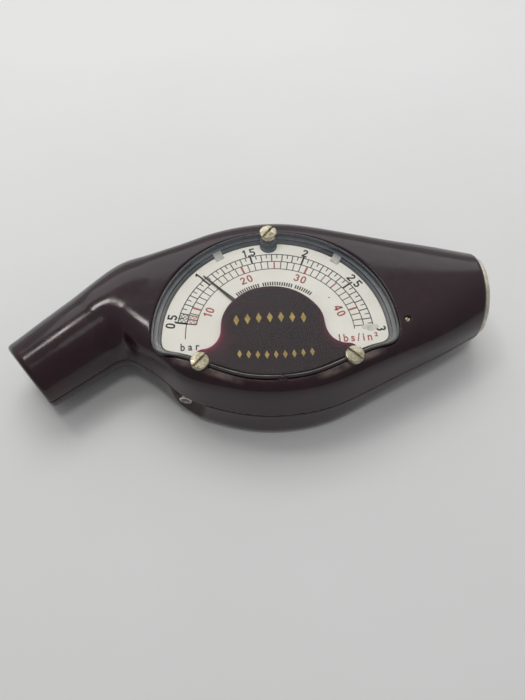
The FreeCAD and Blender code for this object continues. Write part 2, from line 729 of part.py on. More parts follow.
def dial_plate():
    """Dial with a centre hole, an open slot at the +Y boss and a notch at each other one."""
    blank = prism("dial_blank", offset(WINDOW_PLAN, -1.8),
                  "Dims.dial_z - Dims.dial_thick", "Dims.dial_thick")
    tool_z, tool_high = 18.5, 3.0
    slot_x, slot_y = WINDOW_SCREWS[0][0], 26.75
    half_slot = dim("boss_radius") + dim("head_clear")
    return cut("dial_plate", blank, [
        cylinder("dial_centre", 1.2, tool_high, Vector(0, 0, tool_z)),
        cylinder("dial_slot_round", BOSS_HOLE, tool_high, Vector(slot_x, slot_y, tool_z)),
        box("dial_slot_square", 2 * half_slot, 4.0, tool_high,
            Vector(slot_x - half_slot, slot_y, tool_z)),
    ] + cylinders_at("dial_notch", WINDOW_SCREWS[1:], BOSS_HOLE, tool_high, tool_z, first=1))


# ---------------------------------------------------------------- pointer and gears
POINTER_ANGLE = radians(134.2)
# distance along the pointer from its axis, half width
POINTER_HALF = [
    (dim("pointer_length"), 0.12), (14.0, 0.75), (2.0, 1.15), (1.2, 1.5), (-1.2, 1.5),
    (-4.5, 0.9), (-7.5, 1.7), (-8.6, 1.2),
]
PRESSURE_ANGLE = radians(20)
ADDENDUM = 0.8 * GEAR_MODULE
DEDENDUM = 1.05 * GEAR_MODULE
BACKLASH = 0.05
FLANK_STEPS = 6
SECTOR_FIRST_TOOTH = -6
SECTOR_TOOTH_COUNT = 9


def pointer():
    outline = [(x, -width) for x, width in POINTER_HALF]
    outline += [(x, width) for x, width in reversed(POINTER_HALF)]
    cosine, sine = cos(POINTER_ANGLE), sin(POINTER_ANGLE)
    outline = [(x * cosine - y * sine, x * sine + y * cosine) for x, y in outline]
    blade = prism("pointer_blade", outline, "Dims.pointer_z", "Dims.pointer_thick",
                  spline=False)
    return cut("pointer", blade,
               [cylinder("pointer_hole", "Dims.arbor_radius", 2.0, Vector(0, 0, 19.2))])


def gear_teeth(teeth, zero_angle, first, count, centre):
    """Outline of involute teeth. Tooth k is centred at zero_angle + k * pitch."""
    pitch_radius = GEAR_MODULE * teeth / 2.0
    base_radius = pitch_radius * cos(PRESSURE_ANGLE)
    tip_radius = pitch_radius + ADDENDUM
    root_radius = pitch_radius - DEDENDUM
    half_base = (pi / (2 * teeth) - BACKLASH / (2 * pitch_radius)
                 + tan(PRESSURE_ANGLE) - PRESSURE_ANGLE)
    flank = []    # radius, half angle of the tooth
    if root_radius < base_radius:
        flank.append((root_radius, half_base * 0.98))
    start = max(root_radius, base_radius)
    for i in range(FLANK_STEPS + 1):
        radius = start + (tip_radius - start) * i / FLANK_STEPS
        roll = acos(base_radius / radius)
        flank.append((radius, half_base - (tan(roll) - roll)))
    points = []
    for k in range(first, first + count):
        middle = zero_angle + k * 2 * pi / teeth
        points += [polar(radius, middle - half, centre) for radius, half in flank]
        points += [polar(radius, middle + half, centre) for radius, half in reversed(flank)]
    return points


def pinion_arbor():
    """Pinion on the pointer axis, with a tooth on the line of centres."""
    teeth = int(dim("pinion_teeth"))
    outline = gear_teeth(teeth, SECTOR_ANGLE, 0, teeth, (0.0, 0.0))
    return fuse("pinion_arbor", [
        prism("pinion_toothed", outline, "Dims.pinion_z", "Dims.pinion_len", spline=False),
        cylinder("arbor_low", "Dims.arbor_radius", 17.7, Vector(0, 0, dim("arbor_end_z"))),
        cylinder("arbor_collar", 1.0, 0.8, Vector(0, 0, 15.2)),
        cylinder("pointer_seat", 0.9, 0.25, Vector(0, 0, 19.75)),
    ])


def sector_gear():
    """Toothed sector with a gap on the line of centres and a tail for the link pin."""
    teeth = int(dim("sector_teeth"))
    pitch = 2 * pi / teeth
    toward = SECTOR_ANGLE + pi
    zero = toward + pitch / 2
    low = zero + (SECTOR_FIRST_TOOTH - 0.75) * pitch
    high = zero + (SECTOR_FIRST_TOOTH + SECTOR_TOOTH_COUNT - 0.25) * pitch
    root = GEAR_MODULE * teeth / 2.0 - DEDENDUM
    tail = SECTOR_TAIL_ANGLE
    # radius and angle about the pivot, from the last tooth round the tail to the first
    web = [
        (root, high), (9.6, high - radians(1.0)), (2.4, high + radians(10)),
        (2.0, high + radians(45)), (1.9, tail - radians(50)), (2.6, tail - radians(22)),
        (4.05, tail - radians(10)), (4.3, tail), (4.05, tail + radians(10)),
        (2.6, tail + radians(22)), (1.9, tail + radians(50)), (2.0, low - radians(45)),
        (2.4, low - radians(10)), (9.6, low + radians(1.0)),
    ]
    outline = [polar(root, low, SECTOR_PIVOT)]
    outline += gear_teeth(teeth, zero, SECTOR_FIRST_TOOTH, SECTOR_TOOTH_COUNT, SECTOR_PIVOT)
    outline += [polar(radius, angle, SECTOR_PIVOT) for radius, angle in web]
    blank = prism("sector_blank", outline, "Dims.sector_z", "Dims.sector_thick",
                  spline=False)
    tool_z, tool_high = 7.5, 4.0
    light = polar(7.9, toward - radians(6), SECTOR_PIVOT)
    return cut("sector_gear", blank, [
        cylinder("sector_bore", "Dims.arbor_radius", tool_high,
                 Vector(*SECTOR_PIVOT, tool_z)),
        cylinder("sector_pin_hole", PIN_RADIUS, tool_high, Vector(*LINK_PIN, tool_z)),
        cylinder("sector_light", 1.5, tool_high, Vector(*light, tool_z)),
    ])


def sector_arbor():
    z, collar_high = dim("sector_z"), 1.0
    return fuse("sector_arbor", [
        cylinder("sector_arbor_round", "Dims.arbor_radius", 12.4,
                 Vector(*SECTOR_PIVOT, dim("arbor_end_z"))),
        cylinder("sector_collar", 1.1, collar_high, Vector(*SECTOR_PIVOT, z - collar_high)),
        cylinder("sector_cap", 1.0, 0.5, Vector(*SECTOR_PIVOT, z + dim("sector_thick"))),
    ])


# ---------------------------------------------------------------- link
PIN_RADIUS = 0.4                    # link pin and tube tip pin
SLOT_TOP = TIP_PIN[1] + 0.96        # ends of the link slot
SLOT_BOTTOM = TIP_PIN[1] - 1.6
SLOT_WIDTH = 1.1


def link_pin():
    return fuse("link_pin", [
        cylinder("link_pin_round", PIN_RADIUS, 1.95, Vector(*LINK_PIN, dim("sector_z"))),
        cylinder("link_pin_head", 0.7, 0.25,
                 Vector(*LINK_PIN, dim("link_z") + dim("link_thick") + 0.05)),
    ])


def drive_link():
    """Link along Y: an eye on the link pin and a slotted end on the tube tip pin."""
    x, eye_y = LINK_PIN
    # half width, y
    half = [
        (0.45, eye_y - 0.95), (0.9, eye_y - 0.45), (0.9, eye_y + 0.45), (0.5, eye_y + 1.0),
        (0.5, SLOT_BOTTOM - 1.6), (1.05, SLOT_BOTTOM - 0.6), (1.05, SLOT_TOP + 0.35),
        (0.6, SLOT_TOP + 0.75),
    ]
    outline = [(x + width, y) for width, y in half]
    outline += [(x - width, y) for width, y in reversed(half)]
    blank = prism("link_blank", outline, "Dims.link_z", "Dims.link_thick", spline=False)
    return cut("drive_link", blank, [
        cylinder("link_hole", 0.45, 2.0, Vector(x, eye_y, 9.5)),
        box("link_slot", SLOT_WIDTH, SLOT_TOP - SLOT_BOTTOM, 2.0,
            Vector(x - SLOT_WIDTH / 2, SLOT_BOTTOM, 9.5)),
    ])


# ---------------------------------------------------------------- pressure tube
TUBE_RADIUS = dim("tube_radius")
TUBE_Z, TUBE_HIGH = dim("tube_z"), dim("tube_high")
TUBE_START = radians(dim("tube_start"))
TUBE_END = radians(dim("tube_start") + dim("tube_sweep"))


def chamfered_rectangle(x0, y0, x1, y1, chamfer):
    c = chamfer
    return [(x0 + c, y0), (x1 - c, y0), (x1, y0 + c), (x1, y1 - c),
            (x1 - c, y1), (x0 + c, y1), (x0, y1 - c), (x0, y0 + c)]


def tube_section(sketch):
    half, wall = dim("tube_thick") / 2, dim("tube_wall")
    for inset, chamfer in [(0.0, 0.7), (wall, 0.45)]:
        add_polygon(sketch, chamfered_rectangle(
            TUBE_RADIUS - half + inset, TUBE_Z + inset,
            TUBE_RADIUS + half - inset, TUBE_Z + TUBE_HIGH - inset, chamfer))


def pressure_tube():
    return tube_arc("pressure_tube", tube_section, "Dims.tube_sweep", dim("tube_start"),
                    probe_radius=TUBE_RADIUS, probe_angle=270, probe_z=TUBE_Z + 0.1)


def tube_tip():
    """Block closing the tube end, with a tongue that carries the tip pin."""
    def tube_point(side, turn):
        return polar(TUBE_RADIUS + side, TUBE_END + radians(turn), TUBE_CENTRE)

    x, y = TIP_PIN
    block = prism("tip_block", [tube_point(-1.0, 0), tube_point(1.0, 0),
                                tube_point(1.0, 5), tube_point(-1.0, 5)],
                  "Dims.tube_z", "Dims.tube_high", spline=False)
    tongue = prism("tip_tongue", [tube_point(-0.9, 0), tube_point(0.9, 0), tube_point(0.9, 9),
                                  (x + 1.1, y + 0.9), (x - 0.3, y + 1.2), (x - 1.1, y - 0.2)],
                   8.6, 1.2, spline=False)
    pin = cylinder("tip_pin", PIN_RADIUS, 2.3, Vector(x, y, 9.0))
    return fuse("tube_tip", [block, tongue, pin])


def socket_block():
    """Block drilled from the nozzle to a short upright bore and on to the tube start."""
    tube_mid = TUBE_Z + TUBE_HIGH / 2
    well = 38.0    # upright bore, distance along the nozzle axis
    tube_end = Vector(*polar(TUBE_RADIUS, TUBE_START, TUBE_CENTRE), tube_mid)
    well_point = along(well, tube_mid - PARTING_Z)
    cross = tube_end - well_point
    blank = prism("socket_blank", SOCKET_PLAN, 6.7, 9.0, spline=False)
    drilled = cut("socket_drilled", blank,
                  [cylinder("socket_inlet", 1.2, 5.9, along(32.5), NOZZLE_ROT)])
    crossed = cut("socket_cross_drilled", drilled,
                  [cylinder("socket_cross", 0.7, cross.Length + 1.0, well_point,
                            Rotation(Z_AXIS, cross))])
    return cut("socket_block", crossed,
               [cylinder("socket_mid", 1.35, 3.1, along(well, -2.55))])


# ---------------------------------------------------------------- valve on the nozzle axis
# Profiles are (radius, distance from the mouth).
STACK_GAP = 0.05    # gap between sleeve, seal and body
SLEEVE_END = dim("sleeve_start") + dim("sleeve_length")
SEAL_START = SLEEVE_END + STACK_GAP
SEAL_END = SEAL_START + dim("seal_length")
BODY_START = SEAL_END + STACK_GAP


def nozzle_sleeve():
    outer, bore, start = dim("sleeve_outer"), dim("sleeve_bore"), dim("sleeve_start")
    profile = [(bore + 0.5, start), (outer, start), (outer, SLEEVE_END), (bore, SLEEVE_END),
               (bore, start + 0.5)]
    return turned("nozzle_sleeve", profile, NOZZLE_TIP, NOZZLE_ROT)


def valve_seal():
    outer, bore = dim("seal_outer"), dim("seal_bore")
    profile = [(bore, SEAL_START), (outer, SEAL_START), (outer, SEAL_END), (bore, SEAL_END)]
    return turned("valve_seal", profile, NOZZLE_TIP, NOZZLE_ROT)


def valve_body():
    flange, flange_end = dim("sleeve_outer") - 0.05, BODY_START + 1.6
    outer, chamber = dim("body_outer"), dim("body_chamber")
    inlet, outlet = 1.4, 1.2                        # hole radii
    chamber_start, chamber_end, end = 19.2, 31.0, 32.8
    profile = [(inlet, BODY_START), (flange, BODY_START), (flange, flange_end),
               (outer, flange_end), (outer, end), (outlet, end), (outlet, chamber_end),
               (chamber, chamber_end), (chamber, chamber_start), (inlet, chamber_start)]
    return turned("valve_body", profile, NOZZLE_TIP, NOZZLE_ROT)


def depressor_pin():
    radius, foot = dim("depressor_radius"), 1.38
    profile = [(0, 13.6), (radius - 0.2, 13.6), (radius, 13.8), (radius, 17.4),
               (foot, 17.4), (foot, 18.6), (0, 18.6)]
    return turned("depressor_pin", profile, NOZZLE_TIP, NOZZLE_ROT)


def check_valve():
    disc, stem = dim("check_radius"), 0.8
    profile = [(0, 19.3), (disc, 19.3), (disc, 20.6), (stem, 20.6), (stem, 24.0), (0, 24.0)]
    return turned("check_valve", profile, NOZZLE_TIP, NOZZLE_ROT)


def check_spring():
    return coil("check_spring", radius=2.2, wire=0.2, length=8.6, turns=6.0,
                base=along(22.0), rotation=NOZZLE_ROT)


# ---------------------------------------------------------------- release button group
# Profiles are (radius, distance inward from the button point).
BUTTON_FOOT = 3.3
PIPE_RADIUS = 22.0    # bend radius of the release pipe about the tube centre


def release_button():
    radius = dim("button_radius")
    profile = [(0, 1.45), (1.05, 1.0), (radius - 0.25, 1.0), (radius, 1.25),
               (radius, BUTTON_FOOT), (0, BUTTON_FOOT)]
    return turned("release_button", profile, BUTTON_POINT, BUTTON_ROT)


def release_pin():
    radius, end = 0.6, 8.0
    profile = [(0, BUTTON_FOOT), (radius, BUTTON_FOOT), (radius, end), (0, end)]
    return turned("release_pin", profile, BUTTON_POINT, BUTTON_ROT)


def button_ring():
    bore, outer = dim("button_bore"), dim("ring_outer")
    profile = [(bore, 2.05), (outer - 0.15, 2.05), (outer, 2.2), (outer, 3.2), (bore, 3.2)]
    return turned("button_ring", profile, BUTTON_POINT, BUTTON_ROT)


def release_valve():
    outer, bore = 2.4, 0.68
    profile = [(0, 9.78), (outer, 9.78), (outer, 7.2), (bore, 7.2), (bore, 9.0), (0, 9.0)]
    return turned("release_valve", profile, BUTTON_POINT, BUTTON_ROT)


def release_spring():
    return coil("release_spring", radius=1.15, wire=0.15, length=2.6, turns=4.0,
                base=inward(4.4), rotation=BUTTON_ROT)


def pipe_section(sketch):
    for radius in (0.7, 0.35):
        add_circle(sketch, PIPE_RADIUS, 8.5, radius)


def release_pipe():
    return tube_arc("release_pipe", pipe_section, 37.6, 169.3,
                    probe_radius=PIPE_RADIUS, probe_angle=190, probe_z=9.0)


# ---------------------------------------------------------------- movement frame
# x, y corners shared by the base plate and the bridge
PLATE_PLAN = [(-7.6, -3.4), (-5.4, -5.2), (13.9, -3.9), (15.9, -1.6), (14.4, 9.2),
              (12.4, 11.0), (3.9, 13.8), (1.6, 12.6)]
# x, y corners of the opening in the bridge
BRIDGE_OPENING = [(3.0, -2.6), (10.5, -2.2), (10.5, 4.0), (5.0, 7.5), (3.0, 4.0)]


def movement_base():
    blank = prism("base_blank", PLATE_PLAN, "Dims.base_z", "Dims.plate_thick", spline=False)
    return cut("movement_base", blank,
               cylinders_at("base_pivot", PIVOTS, "Dims.arbor_bore", 4.0, 1.5)
               + cylinders_at("base_screw_clear", BASE_SCREWS, 0.75, 4.0, 1.5))


def movement_bridge():
    blank = prism("bridge_blank", PLATE_PLAN, "Dims.bridge_z", "Dims.bridge_thick",
                  spline=False)
    return cut("movement_bridge", blank,
               cylinders_at("bridge_pivot", PIVOTS, "Dims.arbor_bore", 4.0, 13)
               + cylinders_at("bridge_screw_clear", PILLARS, 0.62, 4.0, 13)
               + [prism("bridge_window", BRIDGE_OPENING, 13.0, 4.0, spline=False)])


def movement_pillars():
    foot, tap_deep = dim("base_z") + dim("plate_thick"), 3.0
    rounds = cylinders_at("pillar_round", PILLARS, "Dims.pillar_radius",
                          "Dims.bridge_z - Dims.base_z - Dims.plate_thick", foot)
    taps = cylinders_at("pillar_tap", PILLARS, 0.58, tap_deep, dim("bridge_z") - tap_deep)
    return group("movement_pillars", [
        cut("pillar_%d" % i, pillar, [tap])
        for i, (pillar, tap) in enumerate(zip(rounds, taps))])


# ---------------------------------------------------------------- hairspring
SPRING_INNER, SPRING_OUTER = 1.45, 4.2    # radii of the band at its two ends
SPRING_TURNS, SPRING_STEPS = 3.0, 120
SPRING_HALF_BAND = 0.07
SPRING_ANGLE = 30.0                       # plan angle of both ends
STUD_Z = 11.6                             # underside of the collet and the stud


def spring_collet():
    outer = cylinder("collet_round", 1.15, 1.2, Vector(0, 0, STUD_Z))
    return cut("spring_collet", outer,
               [cylinder("collet_bore", "Dims.arbor_radius", 3.0, Vector(0, 0, 11))])


def spring_side(shift):
    """Spiral edge of the band, shifted outward from its middle line."""
    points = []
    for k in range(SPRING_STEPS + 1):
        angle = 2 * pi * SPRING_TURNS * k / SPRING_STEPS + radians(SPRING_ANGLE)
        radius = SPRING_INNER + (SPRING_OUTER - SPRING_INNER) * k / SPRING_STEPS
        points.append(polar(radius + shift, angle))
    return points


def hairspring():
    """Flat band wound outward from just clear of the collet to its stud."""
    outer, inner = spring_side(SPRING_HALF_BAND), spring_side(-SPRING_HALF_BAND)
    body = new_body("hairspring")
    sketch = new_sketch(body, "hairspring_plan", height="Dims.spring_z")
    add_spline(sketch, outer, closed=False)
    add_line(sketch, outer[-1], inner[-1])
    add_spline(sketch, inner[::-1], closed=False)
    add_line(sketch, inner[0], outer[0])
    doc.recompute()
    pad(body, sketch, "hairspring_band", "Dims.spring_high")
    return body


def spring_stud():
    """Pin hanging from the bridge, cut clear of the outer end of the band."""
    x, y = polar(SPRING_OUTER, radians(SPRING_ANGLE))
    pin = cylinder("stud_round", 0.5, dim("bridge_z") - STUD_Z,
                   Vector(x + 0.35, y + 0.2, STUD_Z))
    angles = [radians(SPRING_ANGLE + turn) for turn in (-14, -7, 0, 7, 14)]
    clear = [polar(SPRING_OUTER + 0.09, angle) for angle in angles]
    clear += [polar(SPRING_OUTER - 1.4, angle) for angle in reversed(angles)]
    return cut("spring_stud", pin,
               [prism("stud_band_clear", clear, 11.0, 1.6, spline=False)])


# ---------------------------------------------------------------- tail cap
def tail_cap():
    """Plug in the tail bore under a domed flange; heights run outward from the tail end."""
    flange, plug = dim("cap_radius"), dim("cap_plug")
    profile = [(0, -4.0), (plug - 0.3, -4.0), (plug, -3.7), (plug, 0.02), (flange, 0.02),
               (flange, 0.85), (flange - 0.4, 1.2), (flange - 2.0, 1.6),
               (flange - 5.0, 1.95), (0, 2.1)]
    return turned("tail_cap", profile, TAIL_END, TAIL_ROT)


# ---------------------------------------------------------------- build and export
# Each function builds the piece it is named after.
PIECES = [
    lower_case, upper_case, window, window_mask, window_gasket, window_screws,
    threaded_inserts, case_set_screw, dial_tray, dial_plate, pointer, pinion_arbor,
    spring_collet, hairspring, spring_stud, sector_gear, sector_arbor, link_pin, drive_link,
    pressure_tube, tube_tip, socket_block, nozzle_sleeve, valve_seal, valve_body,
    depressor_pin, check_valve, check_spring, release_button, release_pin, button_ring,
    release_valve, release_spring, release_pipe, movement_base, movement_bridge,
    movement_pillars, bridge_screws, base_screws, tail_cap,
]
built = [(make.__name__, make()) for make in PIECES]
doc.recompute()

failed = []
for obj in doc.Objects:
    states = [str(state) for state in obj.State]
    if "Invalid" in states or "Error" in states:
        failed.append((obj.Name, states))
if failed:
    raise RuntimeError("features in error: %s" % failed)

os.makedirs("parts", exist_ok=True)
for name, obj in built:
    shape = obj.Shape
    if shape.isNull() or not shape.isValid() or not shape.Solids:
        raise RuntimeError("bad shape: " + name)
    obj.Label = name
    shape.exportStep("parts/%s.step" % name)
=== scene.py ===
"""Hand-held pressure gauge: a bakelite case in two halves with a clear window over a dial.

The gauge lies flat on the floor with its dial facing +z. The pointer turns about the z axis
through the origin. The nozzle runs out towards -x, the tail cap closes the +x end, and the
camera looks down from the -y side. Sizes are in millimetres, turned to metres by MM.
"""
import json
import math
from functools import reduce

import bmesh
import bpy
import numpy as np
from mathutils import Matrix, Vector


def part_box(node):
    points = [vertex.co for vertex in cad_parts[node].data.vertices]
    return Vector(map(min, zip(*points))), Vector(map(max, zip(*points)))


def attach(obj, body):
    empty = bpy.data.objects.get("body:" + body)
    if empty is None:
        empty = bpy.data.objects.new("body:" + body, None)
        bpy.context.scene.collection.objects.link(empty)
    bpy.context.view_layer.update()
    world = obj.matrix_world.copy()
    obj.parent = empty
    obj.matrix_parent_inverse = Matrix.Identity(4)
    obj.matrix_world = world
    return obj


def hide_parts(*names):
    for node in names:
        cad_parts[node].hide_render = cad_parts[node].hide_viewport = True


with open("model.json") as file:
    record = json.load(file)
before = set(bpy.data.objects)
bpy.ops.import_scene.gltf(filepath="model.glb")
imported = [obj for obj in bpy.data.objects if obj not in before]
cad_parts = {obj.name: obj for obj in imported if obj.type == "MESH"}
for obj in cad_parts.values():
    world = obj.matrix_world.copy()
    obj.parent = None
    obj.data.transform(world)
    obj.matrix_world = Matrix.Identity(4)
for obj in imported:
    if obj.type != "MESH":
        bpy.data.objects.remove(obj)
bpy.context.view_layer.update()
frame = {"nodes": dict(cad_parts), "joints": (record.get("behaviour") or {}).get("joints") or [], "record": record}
MM = 0.001

# ---------------------------------------------------------------- places taken from the frame
low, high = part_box("dial_plate")
DIAL_Z = high.z / MM                      # printed face of the dial
low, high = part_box("window")
SEAT_Z, WINDOW_TOP = low.z / MM, high.z / MM
WINDOW_R = high.y / MM                    # round part of the window, about the pointer axis
low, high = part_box("window_mask")
MASK_LOW, MASK_TOP = low.z / MM, high.z / MM
low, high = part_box("pointer")
POINTER_Z = low.z / MM
low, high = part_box("tail_cap")
TAIL_X = low.x / MM + 4.0                 # end face of the case
TAIL_Y = (low.y + high.y) / 2 / MM
PART_Z = (low.z + high.z) / 2 / MM        # parting plane of the two shells
low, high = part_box("window_screws")
HEAD_TOP = high.z / MM
HEAD_SEAT = HEAD_TOP - 1.3

mounts = {mount["name"]: mount for mount in frame["record"]["mounts"]}
bore = mounts["valve_bore"]
NOZZLE_DIR = np.array([-bore["axis"][0], -bore["axis"][1], 0.0])    # from the tip into the body
NOZZLE_DIR /= np.linalg.norm(NOZZLE_DIR)
NOZZLE_TIP = np.array(bore["pos_m"]) / MM - NOZZLE_DIR
joints = {joint["name"]: joint for joint in frame["joints"]}
PRESS_DIR = np.array(joints["button_press"]["axis"])                # into the case
PRESS_DIR = PRESS_DIR / np.linalg.norm(PRESS_DIR)
BUTTON = np.array(joints["button_press"]["pos_m"]) / MM

# ---------------------------------------------------------------- shared sizes
SCREWS = [(-0.2, 28.6), (-18.0, -8.4), (17.9, -8.5)]
SLOT_ANGLES = [50.0, 47.0, -45.0]         # degrees, one per window screw
HEAD_R, SHANK_R = 2.25, 1.2
HEAD_HOLE_R = 2.42
SET_SCREW = (32.0, 1.0)
NOZZLE_BORE_R, VALVE_BORE_R, TAIL_BORE_R = 6.03, 5.25, 8.6
SCOOP_R, SCOOP_DEPTH = 9.0, 16.0
SCOOP_ANGLE, SCOOP_OFFSET = math.radians(240.0), 6.6
SCOOP = (BUTTON[0] + math.cos(SCOOP_ANGLE) * SCOOP_OFFSET,
         BUTTON[1] + math.sin(SCOOP_ANGLE) * SCOOP_OFFSET)
RING_OUT, RING_MID, RING_IN = 24.0, 21.74, 19.37    # the three circles of the printed scale
PRINT_Z = DIAL_Z + 0.002
PRINT_TOP, STAIN_TOP = DIAL_Z + 0.03, DIAL_Z + 0.05


# ---------------------------------------------------------------- curves
def spline(knots, values, x):
    """Natural cubic spline through (knots, values), evaluated at x."""
    knots, values = np.asarray(knots, float), np.asarray(values, float)
    count = len(knots)
    gap = np.diff(knots)
    matrix = np.zeros((count, count))
    right = np.zeros(count)
    matrix[0, 0] = matrix[-1, -1] = 1.0
    for i in range(1, count - 1):
        matrix[i, i - 1:i + 2] = gap[i - 1], 2 * (gap[i - 1] + gap[i]), gap[i]
        right[i] = 6 * ((values[i + 1] - values[i]) / gap[i]
                        - (values[i] - values[i - 1]) / gap[i - 1])
    bend = np.linalg.solve(matrix, right)
    j = np.clip(np.searchsorted(knots, x) - 1, 0, count - 2)
    ahead, behind, gap = knots[j + 1] - x, x - knots[j], gap[j]
    return ((bend[j] * ahead ** 3 + bend[j + 1] * behind ** 3) / (6 * gap)
            + (values[j] / gap - bend[j] * gap / 6) * ahead
            + (values[j + 1] / gap - bend[j + 1] * gap / 6) * behind)


def closed_curve(points, count):
    """count points at even spacing round a smooth closed curve through points."""
    points = np.asarray(points, float)
    wrap = 4
    loop = np.concatenate([points[-wrap:], points, points[:wrap + 1]])
    chord = np.concatenate([[0], np.cumsum(np.hypot(*np.diff(loop, axis=0).T))])
    fine = np.linspace(chord[wrap], chord[wrap + len(points)], 24 * count, endpoint=False)
    x, y = spline(chord, loop[:, 0], fine), spline(chord, loop[:, 1], fine)
    step = np.hypot(np.diff(np.append(x, x[0])), np.diff(np.append(y, y[0])))
    run = np.concatenate([[0], np.cumsum(step)])
    wanted = np.linspace(0, run[-1], count, endpoint=False)
    k = np.clip(np.searchsorted(run, wanted), 0, len(x) - 1)
    return np.stack([x[k], y[k]], 1)


def offset(outline, distance):
    """Counter-clockwise closed curve moved outward by distance."""
    tangent = np.roll(outline, -1, 0) - np.roll(outline, 1, 0)
    tangent /= np.linalg.norm(tangent, axis=1)[:, None]
    return outline + distance * np.stack([tangent[:, 1], -tangent[:, 0]], 1)


def smoothed(values, reach):
    """Running mean over reach samples to each side."""
    window = 2 * reach + 1
    padded = np.pad(values, reach, mode="edge")
    return np.convolve(padded, np.ones(window) / window, mode="valid")


# ---------------------------------------------------------------- distance fields
# A field is negative inside its shape and positive outside.
def blend_min(a, b, blend):
    """Union of two fields, filleted over the length blend."""
    h = np.clip(0.5 + 0.5 * (b - a) / blend, 0, 1)
    return b * (1 - h) + a * h - blend * h * (1 - h)


def blend_max(a, b, blend):
    """Intersection of two fields, rounded over the length blend."""
    return -blend_min(-a, -b, blend)


def overlap(*fields):
    """Sharp intersection of any number of fields."""
    return reduce(np.maximum, fields)


def cut(shape, tool, blend=None):
    """shape with tool taken away, the edge rounded when blend is given."""
    return blend_max(shape, -tool, blend) if blend else np.maximum(shape, -tool)


def radius_from(x, y, centre):
    return np.sqrt((x - centre[0]) ** 2 + (y - centre[1]) ** 2)


def axis_coords(x, y, z, origin, direction):
    """Distance along a level axis, and distance from it."""
    dx, dy, dz = x - origin[0], y - origin[1], z - origin[2]
    along = dx * direction[0] + dy * direction[1]
    return along, np.sqrt(np.maximum(dx * dx + dy * dy + dz * dz - along * along, 1e-9))


class PlanField:
    """Signed distance to a closed plan curve, kept on a fine grid and interpolated."""

    def __init__(self, outline, pad=4.0, cell=0.2):
        start = np.asarray(outline, float)
        low, high = start.min(0) - pad, start.max(0) + pad
        count_x, count_y = np.ceil((high - low) / cell).astype(int) + 1
        X, Y = np.meshgrid(low[0] + cell * np.arange(count_x),
                           low[1] + cell * np.arange(count_y), indexing="ij")
        nearest = np.full(X.shape, 1e9)
        inside = np.zeros(X.shape, bool)
        for (x0, y0), (x1, y1) in zip(start, np.roll(start, -1, 0)):
            dx, dy = x1 - x0, y1 - y0
            t = np.clip(((X - x0) * dx + (Y - y0) * dy) / (dx * dx + dy * dy), 0, 1)
            nearest = np.minimum(nearest, (X - x0 - t * dx) ** 2 + (Y - y0 - t * dy) ** 2)
            if y0 != y1:
                inside ^= ((y0 > Y) != (y1 > Y)) & (X < dx * (Y - y0) / dy + x0)
        self.grid = np.where(inside, -1, 1) * np.sqrt(nearest)
        self.low, self.cell, self.count = low, cell, (count_x, count_y)

    def __call__(self, x, y):
        u = np.clip((x - self.low[0]) / self.cell, 0, self.count[0] - 1.001)
        v = np.clip((y - self.low[1]) / self.cell, 0, self.count[1] - 1.001)
        i, j = u.astype(int), v.astype(int)
        u, v = u - i, v - j
        grid = self.grid
        return ((grid[i, j] * (1 - u) + grid[i + 1, j] * u) * (1 - v)
                + (grid[i, j + 1] * (1 - u) + grid[i + 1, j + 1] * u) * v)


# ---------------------------------------------------------------- meshing of distance fields
def sample_field(field, axes):
    """Field values at the grid points, filled in slabs along x to limit memory."""
    size = [len(axis) for axis in axes]
    values = np.empty(size, np.float32)
    Y, Z = np.meshgrid(axes[1], axes[2], indexing="ij")
    slab = max(1, int(400000 / (size[1] * size[2])))
    for start in range(0, size[0], slab):
        xs = axes[0][start:start + slab]
        X = np.broadcast_to(xs[:, None, None], (len(xs), size[1], size[2]))
        values[start:start + slab] = field(X, np.broadcast_to(Y, X.shape),
                                           np.broadcast_to(Z, X.shape))
    values[values == 0] = 1e-7
    return values


def cell_vertices(values, inside):
    """One vertex per cell that the surface crosses, in grid steps, and the cell numbering."""
    size = np.array(values.shape)
    corners = [(a, b, c) for a in (0, 1) for b in (0, 1) for c in (0, 1)]
    filled = np.zeros(tuple(size - 1), np.int8)
    for a, b, c in corners:
        filled += inside[a:size[0] - 1 + a, b:size[1] - 1 + b, c:size[2] - 1 + c]
    active = (filled > 0) & (filled < 8)
    cells = np.argwhere(active)
    index = np.full(active.shape, -1, np.int64)
    index[active] = np.arange(len(cells))
    total = np.zeros((len(cells), 3))
    crossings = np.zeros(len(cells))
    for first in corners:
        for axis in range(3):
            if first[axis]:
                continue
            second = list(first)
            second[axis] = 1
            va, vb = (values[tuple((cells + corner).T)] for corner in (first, second))
            crossed = (va < 0) != (vb < 0)
            point = np.tile(np.array(first, float), (len(cells), 1))
            point[:, axis] += np.where(crossed, va / np.where(crossed, va - vb, 1), 0)
            total[crossed] += point[crossed]
            crossings[crossed] += 1
    return cells + total / crossings[:, None], index


def cell_quads(inside, index):
    """A quad round every grid edge that the surface crosses."""
    size = inside.shape
    quads = []
    for axis in range(3):
        side, other = (axis + 1) % 3, (axis + 2) % 3
        near = [slice(1, size[k] - 1) for k in range(3)]
        far = list(near)
        near[axis], far[axis] = slice(0, size[axis] - 1), slice(1, size[axis])
        A, B = inside[tuple(near)], inside[tuple(far)]
        for flip, crossed in ((False, A & ~B), (True, ~A & B)):
            edges = np.argwhere(crossed)
            if not len(edges):
                continue
            shift = np.ones(3, int)
            shift[axis] = 0
            edges = edges + shift
            ring = []
            for d_side, d_other in ((-1, -1), (0, -1), (0, 0), (-1, 0)):
                cell = edges.copy()
                cell[:, side] += d_side
                cell[:, other] += d_other
                ring.append(index[tuple(cell.T)])
            quad = np.stack(ring, 1)
            quads.append(quad[:, ::-1] if flip else quad)
    quads = np.concatenate(quads)
    return quads[(quads >= 0).all(1)]


